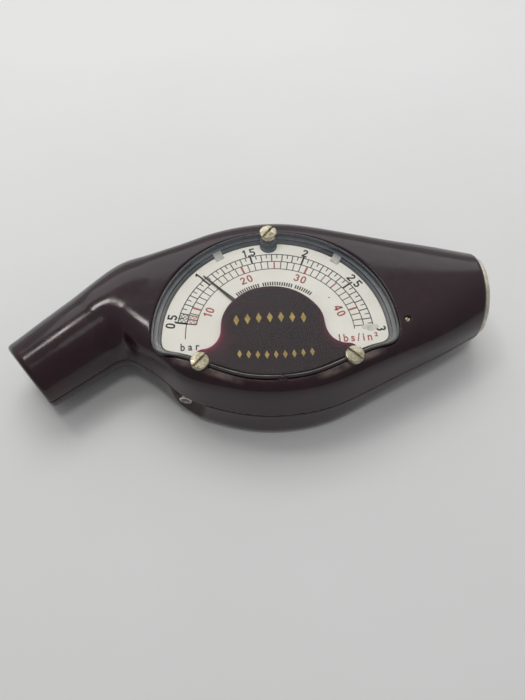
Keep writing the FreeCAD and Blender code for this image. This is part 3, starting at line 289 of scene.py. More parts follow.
def gradient(field, points):
    step = 0.02
    slope = np.empty_like(points)
    for k in range(3):
        ahead, behind = points.copy(), points.copy()
        ahead[:, k] += step
        behind[:, k] -= step
        slope[:, k] = (field(*ahead.T) - field(*behind.T)) / (2 * step)
    return slope


def pull_to_surface(field, points, cell, times):
    for _ in range(times):
        value = field(*points.T)
        slope = gradient(field, points)
        move = (value / np.maximum((slope ** 2).sum(1), 0.05))[:, None] * slope
        length = np.linalg.norm(move, axis=1)[:, None]
        points = points - move * np.minimum(1, 0.5 * cell / np.maximum(length, 1e-9))
    return points


def surface_net(field, low, high, cell):
    """Quad mesh of field = 0, evened out on the surface, with its normals."""
    low, high = np.asarray(low, float), np.asarray(high, float)
    size = np.ceil((high - low) / cell).astype(int) + 1
    values = sample_field(field, [low[i] + cell * np.arange(size[i]) for i in range(3)])
    inside = values < 0
    points, index = cell_vertices(values, inside)
    quads = cell_quads(inside, index)
    points = pull_to_surface(field, low + cell * points, cell, 3)
    pairs = np.concatenate([quads[:, [k, (k + 1) % 4]] for k in range(4)])
    for _ in range(2):
        total = np.zeros_like(points)
        count = np.zeros(len(points))
        for a, b in ((0, 1), (1, 0)):
            np.add.at(total, pairs[:, a], points[pairs[:, b]])
            np.add.at(count, pairs[:, a], 1)
        points = points + 0.5 * (total / count[:, None] - points)
        points = pull_to_surface(field, points, cell, 2)
    normals = gradient(field, points)
    normals /= np.maximum(np.linalg.norm(normals, axis=1), 1e-9)[:, None]
    return points, quads, normals


# ---------------------------------------------------------------- objects
def add_object(name, mesh, mat, body="case"):
    obj = bpy.data.objects.new(name, mesh)
    bpy.context.scene.collection.objects.link(obj)
    mesh.materials.append(mat)
    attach(obj, body)
    return obj


def mesh_piece(name, verts, faces, mat, body="case", sharp=None, normals=None):
    """Smooth-shaded piece; sharp is the angle in degrees above which an edge stays hard."""
    mesh = bpy.data.meshes.new(name)
    verts = np.asarray(verts, float) * MM
    mesh.from_pydata(verts.tolist(), [], [list(map(int, face)) for face in faces])
    mesh.update()
    mesh.polygons.foreach_set("use_smooth", np.ones(len(mesh.polygons), bool))
    if sharp is not None:
        mesh.set_sharp_from_angle(angle=math.radians(sharp))
    if normals is not None:
        mesh.normals_split_custom_set_from_vertices([tuple(n) for n in normals])
    return add_object(name, mesh, mat, body)


def field_piece(name, field, low, high, cell, mat):
    points, quads, normals = surface_net(field, low, high, cell)
    return mesh_piece(name, points, quads, mat, normals=normals)


def face_outward(obj):
    bm = bmesh.new()
    bm.from_mesh(obj.data)
    bmesh.ops.recalc_face_normals(bm, faces=bm.faces)
    bm.to_mesh(obj.data)
    bm.free()


def loft(rings, caps=True):
    """Verts and faces through equal-length closed rings of 3D points."""
    n = len(rings[0])
    verts = [tuple(point) for ring in rings for point in ring]
    faces = []
    for k in range(len(rings) - 1):
        for i in range(n):
            j = (i + 1) % n
            faces.append((k * n + i, k * n + j, (k + 1) * n + j, (k + 1) * n + i))
    if caps:
        faces.append(tuple(reversed(range(n))))
        faces.append(tuple((len(rings) - 1) * n + i for i in range(n)))
    return verts, faces


def prism(outline, bottom, top):
    return loft([[(x, y, z) for x, y in outline] for z in (bottom, top)])


def circle(x, y, radius, count):
    angles = [2 * math.pi * i / count for i in range(count)]
    return [(x + radius * math.cos(a), y + radius * math.sin(a)) for a in angles]


def turned(name, profile, base, axis, mat, body="case", segments=64,
           sharp=32, closed=False):
    """Turned piece. profile is (radius, distance along the axis) from start to end.
    closed joins the last ring to the first, for a ring with a hole."""
    axis = np.array(axis, float)
    axis /= np.linalg.norm(axis)
    side = np.cross(axis, [0, 0, 1.0] if abs(axis[2]) < 0.9 else [1.0, 0, 0])
    side /= np.linalg.norm(side)
    other = np.cross(axis, side)
    base = np.array(base, float)
    angles = np.linspace(0, 2 * math.pi, segments, endpoint=False)
    verts, rows = [], []
    for radius, along in profile:
        if radius < 1e-6:
            rows.append([len(verts)])
            verts.append(tuple(base + axis * along))
            continue
        rows.append(list(range(len(verts), len(verts) + segments)))
        for a in angles:
            spoke = math.cos(a) * side + math.sin(a) * other
            verts.append(tuple(base + axis * along + radius * spoke))
    faces = []
    for p, q in list(zip(rows[:-1], rows[1:])) + ([(rows[-1], rows[0])] if closed else []):
        for i in range(segments):
            j = (i + 1) % segments
            if len(p) == 1:
                faces.append((p[0], q[j], q[i]))
            elif len(q) == 1:
                faces.append((p[i], p[j], q[0]))
            else:
                faces.append((p[i], p[j], q[j], q[i]))
    obj = mesh_piece(name, verts, faces, mat, body, sharp=sharp)
    face_outward(obj)
    return obj


def screw_drums(radius, bottom, top):
    """Cylinders at the window screws, used as cutting tools."""
    return [drum(x, y, radius, bottom, top) for x, y in SCREWS]


def drum(x, y, radius, bottom, top):
    verts, faces = prism(circle(x, y, radius, 48), bottom, top)
    mesh = bpy.data.meshes.new("tool")
    mesh.from_pydata([tuple(c * MM for c in v) for v in verts], [], faces)
    obj = bpy.data.objects.new("tool", mesh)
    bpy.context.scene.collection.objects.link(obj)
    return obj


def carve(obj, tools):
    """Cut the tools away from obj and remove them."""
    for tool in tools:
        modifier = obj.modifiers.new("cut", "BOOLEAN")
        modifier.operation = "DIFFERENCE"
        modifier.solver = "EXACT"
        modifier.object = tool
    bpy.context.view_layer.update()
    depsgraph = bpy.context.evaluated_depsgraph_get()
    mesh = bpy.data.meshes.new_from_object(obj.evaluated_get(depsgraph))
    obj.modifiers.clear()
    obj.data = mesh
    for tool in tools:
        bpy.data.objects.remove(tool)


def points_mm(obj):
    """Vertex x, y, z of obj in millimetres, one array each."""
    flat = np.empty(len(obj.data.vertices) * 3, np.float32)
    obj.data.vertices.foreach_get("co", flat)
    return (flat.reshape(-1, 3).astype(float) / MM).T


def set_attribute(obj, name, values):
    attribute = obj.data.attributes.new(name, "FLOAT", "POINT")
    attribute.data.foreach_set("value", values.astype(np.float32))


# ---------------------------------------------------------------- shader nodes
class Nodes:
    """A node tree with short ways to add nodes. An input takes a socket or a plain value."""

    def __init__(self, tree):
        self.tree = tree

    def wire(self, value, socket):
        if isinstance(value, bpy.types.NodeSocket):
            self.tree.links.new(value, socket)
        else:
            socket.default_value = value

    def add(self, kind, inputs={}, **settings):
        node = self.tree.nodes.new("ShaderNode" + kind)
        for key, value in settings.items():
            setattr(node, key, value)
        for key, value in inputs.items():
            self.wire(value, node.inputs[key])
        return node

    def place(self, stretch=(1, 1, 1)):
        """Object coordinates."""
        here = self.add("TexCoord").outputs["Object"]
        return self.add("Mapping", {"Scale": stretch, "Vector": here}).outputs["Vector"]

    def noise(self, place, scale, detail, roughness=0.5, distortion=0.0):
        return self.add("TexNoise", {
            "Scale": scale, "Detail": detail, "Roughness": roughness,
            "Distortion": distortion, "Vector": place}).outputs["Fac"]

    def ramp(self, factor, stops):
        """Colour ramp; stops are (position, colour)."""
        node = self.add("ValToRGB", {0: factor})
        elements = node.color_ramp.elements
        while len(elements) < len(stops):
            elements.new(0.5)
        for element, (position, color) in zip(elements, stops):
            element.position = position
            element.color = (*color, 1.0)
        return node.outputs[0]

    def remap(self, value, span, to):
        return self.add("MapRange", {
            "From Min": span[0], "From Max": span[1], "To Min": to[0], "To Max": to[1],
            "Value": value}).outputs["Result"]

    def math(self, operation, *values):
        return self.add("Math", dict(enumerate(values)), operation=operation).outputs[0]

    def mix(self, factor, first, second, **settings):
        return self.add("MixRGB", {0: factor, 1: first, 2: second}, **settings).outputs[0]

    def scaled(self, color, factor):
        inputs = {0: color, "Scale": factor}
        return self.add("VectorMath", inputs, operation="SCALE").outputs[0]

    def attribute(self, name):
        return self.add("Attribute", attribute_name=name).outputs["Fac"]

    def bump(self, height, strength, distance):
        return self.add("Bump", {"Strength": strength, "Distance": distance,
                                 "Height": height}).outputs[0]

    def separate(self, vector, axis):
        return self.add("SeparateXYZ", {0: vector}).outputs["XYZ".index(axis)]

    def output(self, shader):
        self.add("OutputMaterial", {0: shader.outputs[0]})

    def principled(self, inputs):
        self.output(self.add("BsdfPrincipled", inputs))


def new_material(name):
    material = bpy.data.materials.new(name)
    material.use_nodes = True
    material.node_tree.nodes.clear()
    return material, Nodes(material.node_tree)


# ---------------------------------------------------------------- materials
def bakelite():
    """Dark red moulding: clouded resin, grime where "worn", and light patches from the rim attribute: a painted
    highlight on the window rim, partly wear from rubbing.
    """
    material, nodes = new_material("bakelite")
    place = nodes.place()
    cloud = nodes.noise(place, scale=55, detail=6, roughness=0.6, distortion=1.6)
    grain = nodes.noise(place, scale=400, detail=4, roughness=0.6)
    patches = nodes.noise(place, scale=210, detail=4, roughness=0.6)
    streaks = nodes.noise(nodes.place(stretch=(1.0, 3.0, 1.0)), scale=130, detail=5,
                          roughness=0.65, distortion=0.8)
    pimples = nodes.noise(place, scale=900, detail=2)
    swell = nodes.noise(place, scale=35, detail=2)
    worn = nodes.attribute("worn")

    resin = nodes.ramp(cloud, [(0.30, (0.0150, 0.0050, 0.0082)),
                               (0.55, (0.0235, 0.0074, 0.0120)),
                               (0.75, (0.036, 0.0105, 0.0155))])
    grime = nodes.ramp(grain, [(0.35, (0.022, 0.012, 0.009)), (0.65, (0.065, 0.040, 0.027))])
    rubbed_and_sheen = nodes.math("MULTIPLY", nodes.attribute("rubbed_and_sheen"),
                        nodes.remap(patches, span=(0.28, 0.60), to=(0.0, 1.0)))
    # colour of the rim patches: painted highlight on the rim, partly wear from rubbing
    sheen_tint = (0.155, 0.118, 0.105, 1)
    handling = nodes.math("ADD", nodes.remap(streaks, span=(0.35, 0.75), to=(0.0, 0.10)),
                          nodes.remap(grain, span=(0.4, 0.7), to=(0.10, 0.15)))
    extra_when_worn, pimple_height = 0.45, 0.06
    relief = nodes.math("ADD", nodes.math("MULTIPLY", pimples, pimple_height), swell)
    nodes.principled({
        "Base Color": nodes.mix(rubbed_and_sheen, nodes.mix(worn, resin, grime), sheen_tint),
        "Roughness": nodes.math("MULTIPLY_ADD", worn, extra_when_worn, handling),
        "Normal": nodes.bump(relief, strength=0.08, distance=0.0006),
        "IOR": 1.5})
    return material


def metal(name, dark, light, roughness, scale=500, relief=0.2, metallic=1.0, dirt=None):
    """Mottled metal. roughness is (in the light spots, in the dark ones), scale is the
    fineness of the mottling and dirt a darker colour for its lowest spots."""
    material, nodes = new_material(name)
    place = nodes.place()
    mottle = nodes.noise(place, scale=scale, detail=5, roughness=0.6, distortion=0.5)
    stops = [(0.35, dark), (0.65, light)]
    if dirt is not None:
        stops = [(0.28, dirt), (0.42, dark), (0.68, light)]
    grain = nodes.noise(place, scale=scale * 6, detail=3, roughness=0.6)
    nodes.principled({
        "Base Color": nodes.ramp(mottle, stops),
        "Metallic": metallic,
        "Roughness": nodes.remap(mottle, span=(0.3, 0.7), to=roughness[::-1]),
        "Normal": nodes.bump(grain, strength=relief, distance=0.00005)})
    return material


def paint(name, dark, light, roughness=0.5, scale=900, relief=0.2, specular=0.5):
    """Mottled paint, print or rubber."""
    material, nodes = new_material(name)
    place = nodes.place()
    mottle = nodes.noise(place, scale=scale, detail=5, roughness=0.6)
    grain = nodes.noise(place, scale=scale * 5, detail=2)
    nodes.principled({
        "Base Color": nodes.ramp(mottle, [(0.35, dark), (0.65, light)]),
        "Roughness": nodes.remap(mottle, span=(0.3, 0.7),
                                 to=(roughness - 0.05, roughness + 0.08)),
        "Specular IOR Level": specular,
        "Normal": nodes.bump(grain, strength=relief, distance=0.00004)})
    return material


def clear_plastic(name, reflects=True):
    """Plastic that lets light straight through; front faces may add a faint reflection."""
    material, nodes = new_material(name)
    haze = nodes.noise(nodes.place(), scale=60, detail=2)
    tint = nodes.ramp(haze, [(0.3, (0.988, 0.990, 0.986)), (0.7, (0.994, 0.994, 0.992))])
    shader = nodes.add("BsdfTransparent", {"Color": tint})
    if reflects:
        gloss = nodes.add("BsdfAnisotropic", {"Roughness": 0.015})
        fresnel = nodes.add("Fresnel", {"IOR": 1.42}).outputs[0]
        backfacing = nodes.add("NewGeometry").outputs["Backfacing"]
        factor = nodes.math("MULTIPLY", fresnel, nodes.math("SUBTRACT", 1.0, backfacing))
        shader = nodes.add("MixShader", {0: factor, 1: shader.outputs[0],
                                         2: gloss.outputs[0]})
    nodes.output(shader)
    return material


def shaded_lip_paint(name, near, middle, far):
    """Lacquer colour that changes with y, painting light and shade: almost black at the -y edge as a painted
    shadow, then near, middle and far, lighter at the sides and darker towards +y as painted shade.
    """
    material, nodes = new_material(name)
    place = nodes.place()
    height = nodes.remap(nodes.separate(place, "Y"), span=(-0.013, 0.030), to=(0.0, 1.0))
    color = nodes.ramp(height, [(0.0, (0.012, 0.006, 0.008)), (0.165, (0.014, 0.008, 0.010)),
                                (0.215, near), (0.42, near), (0.66, middle), (0.92, far)])
    mottle = nodes.noise(place, scale=400, detail=4)
    brightness = nodes.remap(mottle, span=(0.3, 0.7), to=(0.85, 1.15))
    nodes.principled({"Base Color": nodes.scaled(color, brightness), "Roughness": 0.4})
    return material


def mask_print():
    """Burgundy print; painted magenta light is added where the "edge" attribute rises."""
    material, nodes = new_material("mask_print")
    mottle = nodes.noise(nodes.place(), scale=220, detail=4)
    color = nodes.ramp(mottle, [(0.35, (0.017, 0.007, 0.009)), (0.65, (0.024, 0.009, 0.012))])
    # painted light: magenta added to the print along the arched edge
    painted_shine = nodes.ramp(nodes.attribute("edge"), [
        (0.0, (0.0, 0.0, 0.0)), (0.35, (0.055, 0.006, 0.018)),
        (0.75, (0.20, 0.009, 0.050)), (1.0, (0.34, 0.012, 0.085))])
    nodes.principled({"Base Color": nodes.mix(1.0, color, painted_shine, blend_type="ADD"),
                      "Roughness": 0.25})
    return material


def floor_paint():
    """Pale floor, darker towards -y: painted shade of the light falling off towards the front."""
    material, nodes = new_material("studio_floor")
    place = nodes.place()
    mottle = nodes.noise(place, scale=9, detail=6, roughness=0.6)
    color = nodes.ramp(mottle, [(0.3, (0.845, 0.852, 0.840)), (0.7, (0.875, 0.883, 0.875))])
    painted_light_drop = nodes.remap(nodes.separate(place, "Y"), span=(-0.09, 0.14), to=(0.85, 1.07))
    nodes.principled({"Base Color": nodes.scaled(color, painted_light_drop), "Roughness": 0.65,
                      "Specular IOR Level": 0.3})
    return material


BAKELITE = bakelite()
CLEAR = clear_plastic("clear_plastic")
CLEAR_BEVEL = clear_plastic("clear_plastic_bevel")
CLEAR_SIDE = clear_plastic("clear_plastic_side", reflects=False)
NICKEL = metal("aged_nickel", dark=(0.46, 0.41, 0.28), light=(0.78, 0.73, 0.58),
               roughness=(0.22, 0.42), scale=1100, relief=0.45, dirt=(0.10, 0.075, 0.04))
BRIGHT_NICKEL = metal("bright_nickel", dark=(0.52, 0.50, 0.48), light=(0.70, 0.68, 0.66),
                      roughness=(0.28, 0.40), relief=0.05)
BRASS = metal("brass", dark=(0.55, 0.38, 0.15), light=(0.78, 0.60, 0.30),
              roughness=(0.2, 0.38), relief=0.25)
BRONZE = metal("bronze", dark=(0.42, 0.24, 0.11), light=(0.62, 0.40, 0.22),
               roughness=(0.25, 0.4), scale=400, relief=0.25)
COPPER = metal("copper", dark=(0.55, 0.26, 0.14), light=(0.75, 0.42, 0.27),
               roughness=(0.22, 0.4))
STEEL = metal("spring_steel", dark=(0.35, 0.35, 0.37), light=(0.55, 0.55, 0.57),
              roughness=(0.2, 0.35), scale=600)
CREAM = metal("cream_metal", dark=(0.55, 0.50, 0.38), light=(0.82, 0.79, 0.68),
              roughness=(0.3, 0.45), scale=300, relief=0.25, metallic=0.35)
SLATE = paint("grey_enamel", dark=(0.085, 0.105, 0.13), light=(0.13, 0.155, 0.185),
              roughness=0.35, scale=260)
WHITE = paint("white_enamel", dark=(0.90, 0.872, 0.79), light=(0.95, 0.925, 0.855),
              roughness=0.45, scale=140, relief=0.12, specular=0.35)
BLACK = paint("print_black", dark=(0.012, 0.012, 0.012), light=(0.03, 0.028, 0.027),
              scale=1500, relief=0.1)
RED = paint("print_red", dark=(0.40, 0.10, 0.085), light=(0.48, 0.15, 0.13),
            scale=1500, relief=0.1)
BROWN = paint("print_brown", dark=(0.05, 0.024, 0.02), light=(0.10, 0.045, 0.038),
              scale=1500, relief=0.1)
BLACK_ENAMEL = paint("black_enamel", dark=(0.035, 0.038, 0.030), light=(0.075, 0.08, 0.062),
                     roughness=0.35, relief=0.15)
RUBBER = paint("rubber", dark=(0.010, 0.010, 0.010), light=(0.02, 0.02, 0.02),
               roughness=0.6, relief=0.4, specular=0.3)
CLIP_METAL = metal("clip_metal", dark=(0.50, 0.50, 0.46), light=(0.68, 0.67, 0.61),
                   roughness=(0.35, 0.5), metallic=0.35)
STAIN = paint("dial_stain", dark=(0.62, 0.59, 0.52), light=(0.82, 0.79, 0.72),
              roughness=0.7, specular=0.2)
# pale edge colour: painted highlight along the lens edge, partly frosted wear of the acrylic
FROSTED_GLINT = paint("frosted_edge_glint", dark=(0.26, 0.24, 0.22), light=(0.66, 0.62, 0.57),
                scale=260, specular=0.4)
DULL_BRASS = metal("dull_brass", dark=(0.030, 0.021, 0.015), light=(0.075, 0.052, 0.036),
                   roughness=(0.35, 0.55), relief=0.3, metallic=0.6)
GOLD = metal("gold_print", dark=(0.36, 0.25, 0.08), light=(0.55, 0.42, 0.17),
             roughness=(0.35, 0.5), scale=700, relief=0.15)
MASK_PRINT = mask_print()
# tray lacquer and seal: own grey colours with painted light and shade along y
LIP_SHADED = shaded_lip_paint("tray_lacquer_shaded", near=(0.27, 0.275, 0.28), middle=(0.16, 0.175, 0.19),
                far=(0.075, 0.09, 0.11))
SEAL_SHADED = shaded_lip_paint("seal_grey_shaded", near=(0.10, 0.105, 0.11), middle=(0.06, 0.068, 0.078),
                 far=(0.035, 0.042, 0.052))

# ---------------------------------------------------------------- outlines and stations
# Body stations: x, -y edge, +y edge, then the section's roundness exponent on the +y side,
# on the -y side above the parting plane and on the -y side below it, and the -y wall's lean.
STATIONS = np.array([
    (-50.0, 6.0, 13.4, 2.2, 2.2, 2.2, 0.0), (-46.0, 4.6, 17.8, 2.3, 2.3, 2.3, 0.0),
    (-42.0, 3.4, 21.9, 2.6, 2.6, 2.6, 0.0), (-38.0, 1.2, 24.6, 3.0, 3.0, 3.0, 0.0),
    (-34.0, -2.3, 26.3, 3.4, 3.5, 3.4, 0.0), (-30.0, -5.3, 27.8, 3.9, 4.3, 4.1, 0.03),
    (-24.0, -11.0, 29.8, 4.6, 6.5, 6.5, 0.06), (-16.0, -15.1, 32.9, 5.0, 8.5, 11.5, 0.085),
    (-6.0, -17.7, 35.4, 5.0, 9.5, 14.0, 0.09), (4.0, -18.0, 35.7, 5.0, 9.5, 14.0, 0.09),
    (14.0, -16.1, 33.75, 4.8, 8.5, 11.0, 0.10), (24.0, -11.8, 31.25, 4.2, 6.8, 5.6, 0.11),
    (34.0, -7.15, 29.15, 3.3, 4.2, 3.4, 0.07), (44.0, -2.5, 27.45, 2.5, 2.7, 2.4, 0.02),
    (53.5, 2.7, 25.1, 2.0, 2.0, 2.0, 0.0)])
BODY_X = np.linspace(-52.0, 55.0, 1800)
NEAR_Y, FAR_Y = (spline(STATIONS[:, 0], STATIONS[:, i], BODY_X) for i in (1, 2))
CENTRE_Y = (NEAR_Y + FAR_Y) / 2
HALF_WIDTH = np.maximum((FAR_Y - NEAR_Y) / 2, 1.0)
POWER_FAR, POWER_TOP, POWER_LOW = (
    smoothed(np.maximum(np.interp(BODY_X, STATIONS[:, 0], STATIONS[:, i]), 2.0), 60)
    for i in (3, 4, 5))
LEAN = smoothed(np.interp(BODY_X, STATIONS[:, 0], STATIONS[:, 6]), 60)
# Share of the full depth kept towards the -x end of the body
DEPTH_SHARE = smoothed(np.interp(BODY_X, [-52, -50, -46, -42, -38, -34, -30],
                                 [0.72, 0.78, 0.885, 0.95, 0.985, 0.997, 1.0]), 40)

# Nozzle: distance from the tip, and radius there
NOZZLE = np.array([
    (-5, 9.25), (0, 9.35), (10, 10.0), (20, 10.55), (27, 10.85), (33, 10.85), (36.5, 10.4),
    (39.5, 9.2), (42.0, 7.4), (44.0, 4.6), (46.0, 0.4)])
NOZZLE_S = np.linspace(-5, 46, 800)
NOZZLE_R = spline(NOZZLE[:, 0], NOZZLE[:, 1], NOZZLE_S)
NOZZLE_R[NOZZLE_S < 0] = 9.35
NOZZLE_SLOPE = np.gradient(NOZZLE_R, NOZZLE_S)

# Straighter lower edge of the window (x, y), +x half, mirrored for the other half
WINDOW_EDGE = [(28.75, -3.1), (27.6, -4.6), (25.7, -5.4), (23.4, -6.0), (20.6, -7.0),
               (15.6, -9.15), (11.0, -11.05), (6.6, -12.3), (2.2, -12.8)]
# Lower edge of the hollow under the window (x, y), from -x to +x
CHAMBER_R = 30.0
CHAMBER_EDGE = [(-26.6, -6.2), (-22.2, -8.9), (-17.0, -11.3), (-10.0, -13.2), (-3.0, -14.2),
                (4.5, -14.2), (12.0, -13.0), (19.0, -11.2), (25.5, -8.0)]
# Pocket where the nozzle meets the body (x, y)
SOCKET_PLAN = [(-32.46, 12.24), (-21.32, 12.03), (-16.24, 10.95), (-15.6, 16.5),
               (-20.0, 19.5), (-26.2, 21.0), (-31.8, 24.27), (-38.06, 19.28)]
# Mask outline (x, y): over the arched upper edge from -x to +x, then back along the lower
MASK_ARCH = [
    (-18.1, -4.2), (-16.9, -4.0), (-15.3, -3.3), (-14.1, -2.0), (-13.35, -0.3),
    (-13.15, 1.3), (-12.9, 3.9), (-12.0, 6.5), (-10.8, 8.4), (-9.0, 10.2), (-6.5, 11.9),
    (-3.8, 12.9), (-0.6, 13.25), (2.0, 13.0), (4.4, 12.3), (6.9, 10.9), (9.2, 8.9),
    (10.7, 7.0), (11.6, 5.3), (12.1, 3.2), (12.25, 1.2), (12.7, -0.6), (13.6, -2.2),
    (14.7, -3.2), (16.4, -3.9), (18.3, -4.3)]
MASK_EDGE = [
    (19.35, -5.6), (15.1, -8.07), (10.5, -9.9), (6.3, -11.1), (2.15, -11.6),
    (-2.15, -11.6), (-6.3, -11.1), (-10.5, -9.9), (-15.1, -8.07), (-19.35, -5.6)]


def arc_points(radius, start, sweep, steps):
    angles = [math.radians(start + sweep * i / steps) for i in range(steps + 1)]
    return [(radius * math.cos(a), radius * math.sin(a)) for a in angles]


WINDOW = closed_curve(arc_points(WINDOW_R, -3.0, 186.0, 36)
                      + [(-x, y) for x, y in WINDOW_EDGE] + WINDOW_EDGE[::-1], 360)
window_plan = PlanField(WINDOW)
chamber_plan = PlanField(closed_curve(arc_points(CHAMBER_R, -8, 195, 24) + CHAMBER_EDGE, 200))
socket_plan = PlanField(SOCKET_PLAN)


# ---------------------------------------------------------------- case shells
def along_x(x, values):
    return np.interp(x, BODY_X, values)


def case_field(x, y, z, half_depth):
    """Body blended into the nozzle, with distance along and from the nozzle axis."""
    centre, half_width = along_x(x, CENTRE_Y), along_x(x, HALF_WIDTH)
    deep = half_depth * along_x(x, DEPTH_SHARE)
    near = y < centre
    near_power = np.where(z > PART_Z, along_x(x, POWER_TOP), along_x(x, POWER_LOW))
    power = np.where(near, near_power, along_x(x, POWER_FAR))
    lean = np.where(near, along_x(x, LEAN), 0.0) * np.clip((z - PART_Z) / deep, 0, 1.1)
    a = np.abs(y - centre) / (half_width * (1 - lean)) + 1e-6
    b = np.abs(z - PART_Z) / deep + 1e-6
    size = (a ** power + b ** power) ** (1 / power)
    slope = np.sqrt(((a / size) ** (power - 1) / half_width) ** 2
                    + ((b / size) ** (power - 1) / deep) ** 2)
    body = (size - 1) / np.maximum(slope, 1e-3)
    body = blend_max(body, x - TAIL_X, 1.1)
    body = blend_max(body, -48.5 - x, 4.0)

    along, radius = axis_coords(x, y, z, NOZZLE_TIP, NOZZLE_DIR)
    slope = np.interp(along, NOZZLE_S, NOZZLE_SLOPE)
    nozzle = (radius - np.interp(along, NOZZLE_S, NOZZLE_R)) / np.sqrt(1 + slope * slope)
    nozzle = blend_max(nozzle, -along, 1.3)
    nozzle = np.maximum(nozzle, along - NOZZLE_S[-2])
    blend = 1.3 + 4.2 * np.clip(1 - ((z - PART_Z) / 10.5) ** 2, 0, 1)
    return blend_min(body, nozzle, blend), along, radius


def cut_bores(shape, along, radius, x, y, z):
    """Stepped nozzle bore, tail bore and the pocket between them."""
    shape = cut(shape, overlap(radius - NOZZLE_BORE_R, along - 14.66), 0.25)
    shape = cut(shape, overlap(radius - NOZZLE_BORE_R, 13.0 - along, along - 17.5))
    shape = cut(shape, overlap(radius - VALVE_BORE_R, 13.0 - along, along - 38.0))
    tail = radius_from(y, z, (TAIL_Y, PART_Z))
    shape = cut(shape, overlap(tail - TAIL_BORE_R, TAIL_X - 20 - x), 0.25)
    return cut(shape, overlap(socket_plan(x, y) - 0.3, 6.4 - z, z - 16.0))


def scoop_field(x, y, z):
    """Dish round the release button, deepest under the parting plane."""
    sunk = np.where(z > PART_Z, 0.0, (z - PART_Z) * SCOOP_R / SCOOP_DEPTH)
    return np.sqrt((x - SCOOP[0]) ** 2 + (y - SCOOP[1]) ** 2 + sunk ** 2 + 1e-9) - SCOOP_R


def upper_field(x, y, z):
    shape, along, radius = case_field(x, y, z, PART_Z)
    shape = blend_max(shape, (PART_Z + 0.05) - z, 0.30)
    shape = cut(shape, overlap(chamber_plan(x, y), z - 18.6), 0.3)
    window = window_plan(x, y)
    shape = cut(shape, overlap(window + 0.9, 17.0 - z))
    for screw in SCREWS:    # posts
        post = overlap(radius_from(x, y, screw) - 2.1, z - SEAT_Z, PART_Z + 0.05 - z)
        shape = blend_min(shape, post, 0.3)
    shape = cut(shape, overlap(window - 0.5, SEAT_Z - z), 0.55)
    for screw in SCREWS:    # holes
        from_screw = radius_from(x, y, screw)
        shape = cut(shape, from_screw - 1.4, 0.15)
        shape = cut(shape, overlap(from_screw - HEAD_HOLE_R, HEAD_SEAT - z), 0.25)
    # small bead on the -y rim of the window
    bead = np.sqrt(((x - 0.9) / 1.1) ** 2 + ((y + 13.15) / 0.8) ** 2
                   + ((z - 21.6) / 1.1) ** 2) - 1.0
    shape = blend_min(shape, bead * 0.75, 0.15)
    shape = cut(shape, overlap(radius_from(x, y, SET_SCREW) - 0.78, 17.5 - z), 0.25)
    return cut_bores(shape, along, radius, x, y, z)


def lower_field(x, y, z):
    shape, along, radius = case_field(x, y, z, PART_Z + 0.35)
    shape = blend_max(shape, z - (PART_Z - 0.05), 0.30)
    shape = blend_max(shape, -z, 0.5)
    shape = cut(shape, overlap(chamber_plan(x, y), 2.2 - z), 0.3)
    for screw in SCREWS:
        from_screw = radius_from(x, y, screw)
        post = overlap(from_screw - 2.7, z - PART_Z + 0.05, 0.5 - z)
        shape = blend_min(shape, post, 0.3)
        shape = cut(shape, overlap(from_screw - 1.9, 4.2 - z), 0.15)
    # release button: guide boss, dish, stepped bore
    depth, off_axis = axis_coords(x, y, z, BUTTON, PRESS_DIR)
    boss = overlap(off_axis - 3.25, depth - 6.6, 1.0 - depth, z - PART_Z + 0.05)
    shape = blend_min(shape, boss, 0.2)
    shape = cut(shape, scoop_field(x, y, z), 0.5)
    shape = cut(shape, overlap(off_axis - 1.72, -3 - depth, depth - 9.0), 0.1)
    shape = cut(shape, overlap(off_axis - 2.52, depth - 3.2), 0.1)
    return cut_bores(shape, along, radius, x, y, z)


def build_shells():
    cell = 0.4
    upper = field_piece("upper_shell", upper_field, (-71, -21, PART_Z - 0.8),
                        (55.5, 39, 23.6), cell, BAKELITE)
    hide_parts("upper_case")
    lower = field_piece("lower_shell", lower_field, (-71, -21, -0.9),
                        (55.5, 39, PART_Z + 0.7), cell, BAKELITE)
    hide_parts("lower_case")

    # upper shell: painted highlight along the two -y stretches of the window rim, partly wear from rubbing
    x, y, z = points_mm(upper)
    rim = np.clip(1.0 - np.abs(window_plan(x, y) - 1.4), 0, 1) * (z > PART_Z + 5)
    rim *= np.clip((np.abs(x - 0.5) - 8.0) / 5.0, 0, 1) * np.clip((-y - 3.0) / 3.0, 0, 1)
    rim *= np.clip((25.5 - np.abs(x - 0.5)) / 4.0, 0, 1)
    set_attribute(upper, "worn", np.zeros(len(x)))
    set_attribute(upper, "rubbed_and_sheen", np.clip(rim * 1.6, 0, 1))

    # lower shell: worn over the surface of the dish
    x, y, z = points_mm(lower)
    dish = np.clip(1.0 - np.abs(scoop_field(x, y, z)) / 0.7, 0, 1) * (z < PART_Z)
    set_attribute(lower, "worn", dish)
    set_attribute(lower, "rubbed_and_sheen", np.zeros(len(x)))


# ---------------------------------------------------------------- window and dial tray
def window_piece(name, sections, mat, sharp, ring=False):
    """Piece that follows the window outline; sections are (outward offset, z).
    ring closes the section on itself instead of capping top and bottom."""
    verts, faces = loft([[(x, y, z) for x, y in offset(WINDOW, d)] for d, z in sections],
                        caps=not ring)
    if ring:
        n = len(WINDOW)
        last = (len(sections) - 1) * n
        faces += [(last + i, last + (i + 1) % n, (i + 1) % n, i) for i in range(n)]
    return mesh_piece(name, verts, faces, mat, sharp=sharp)


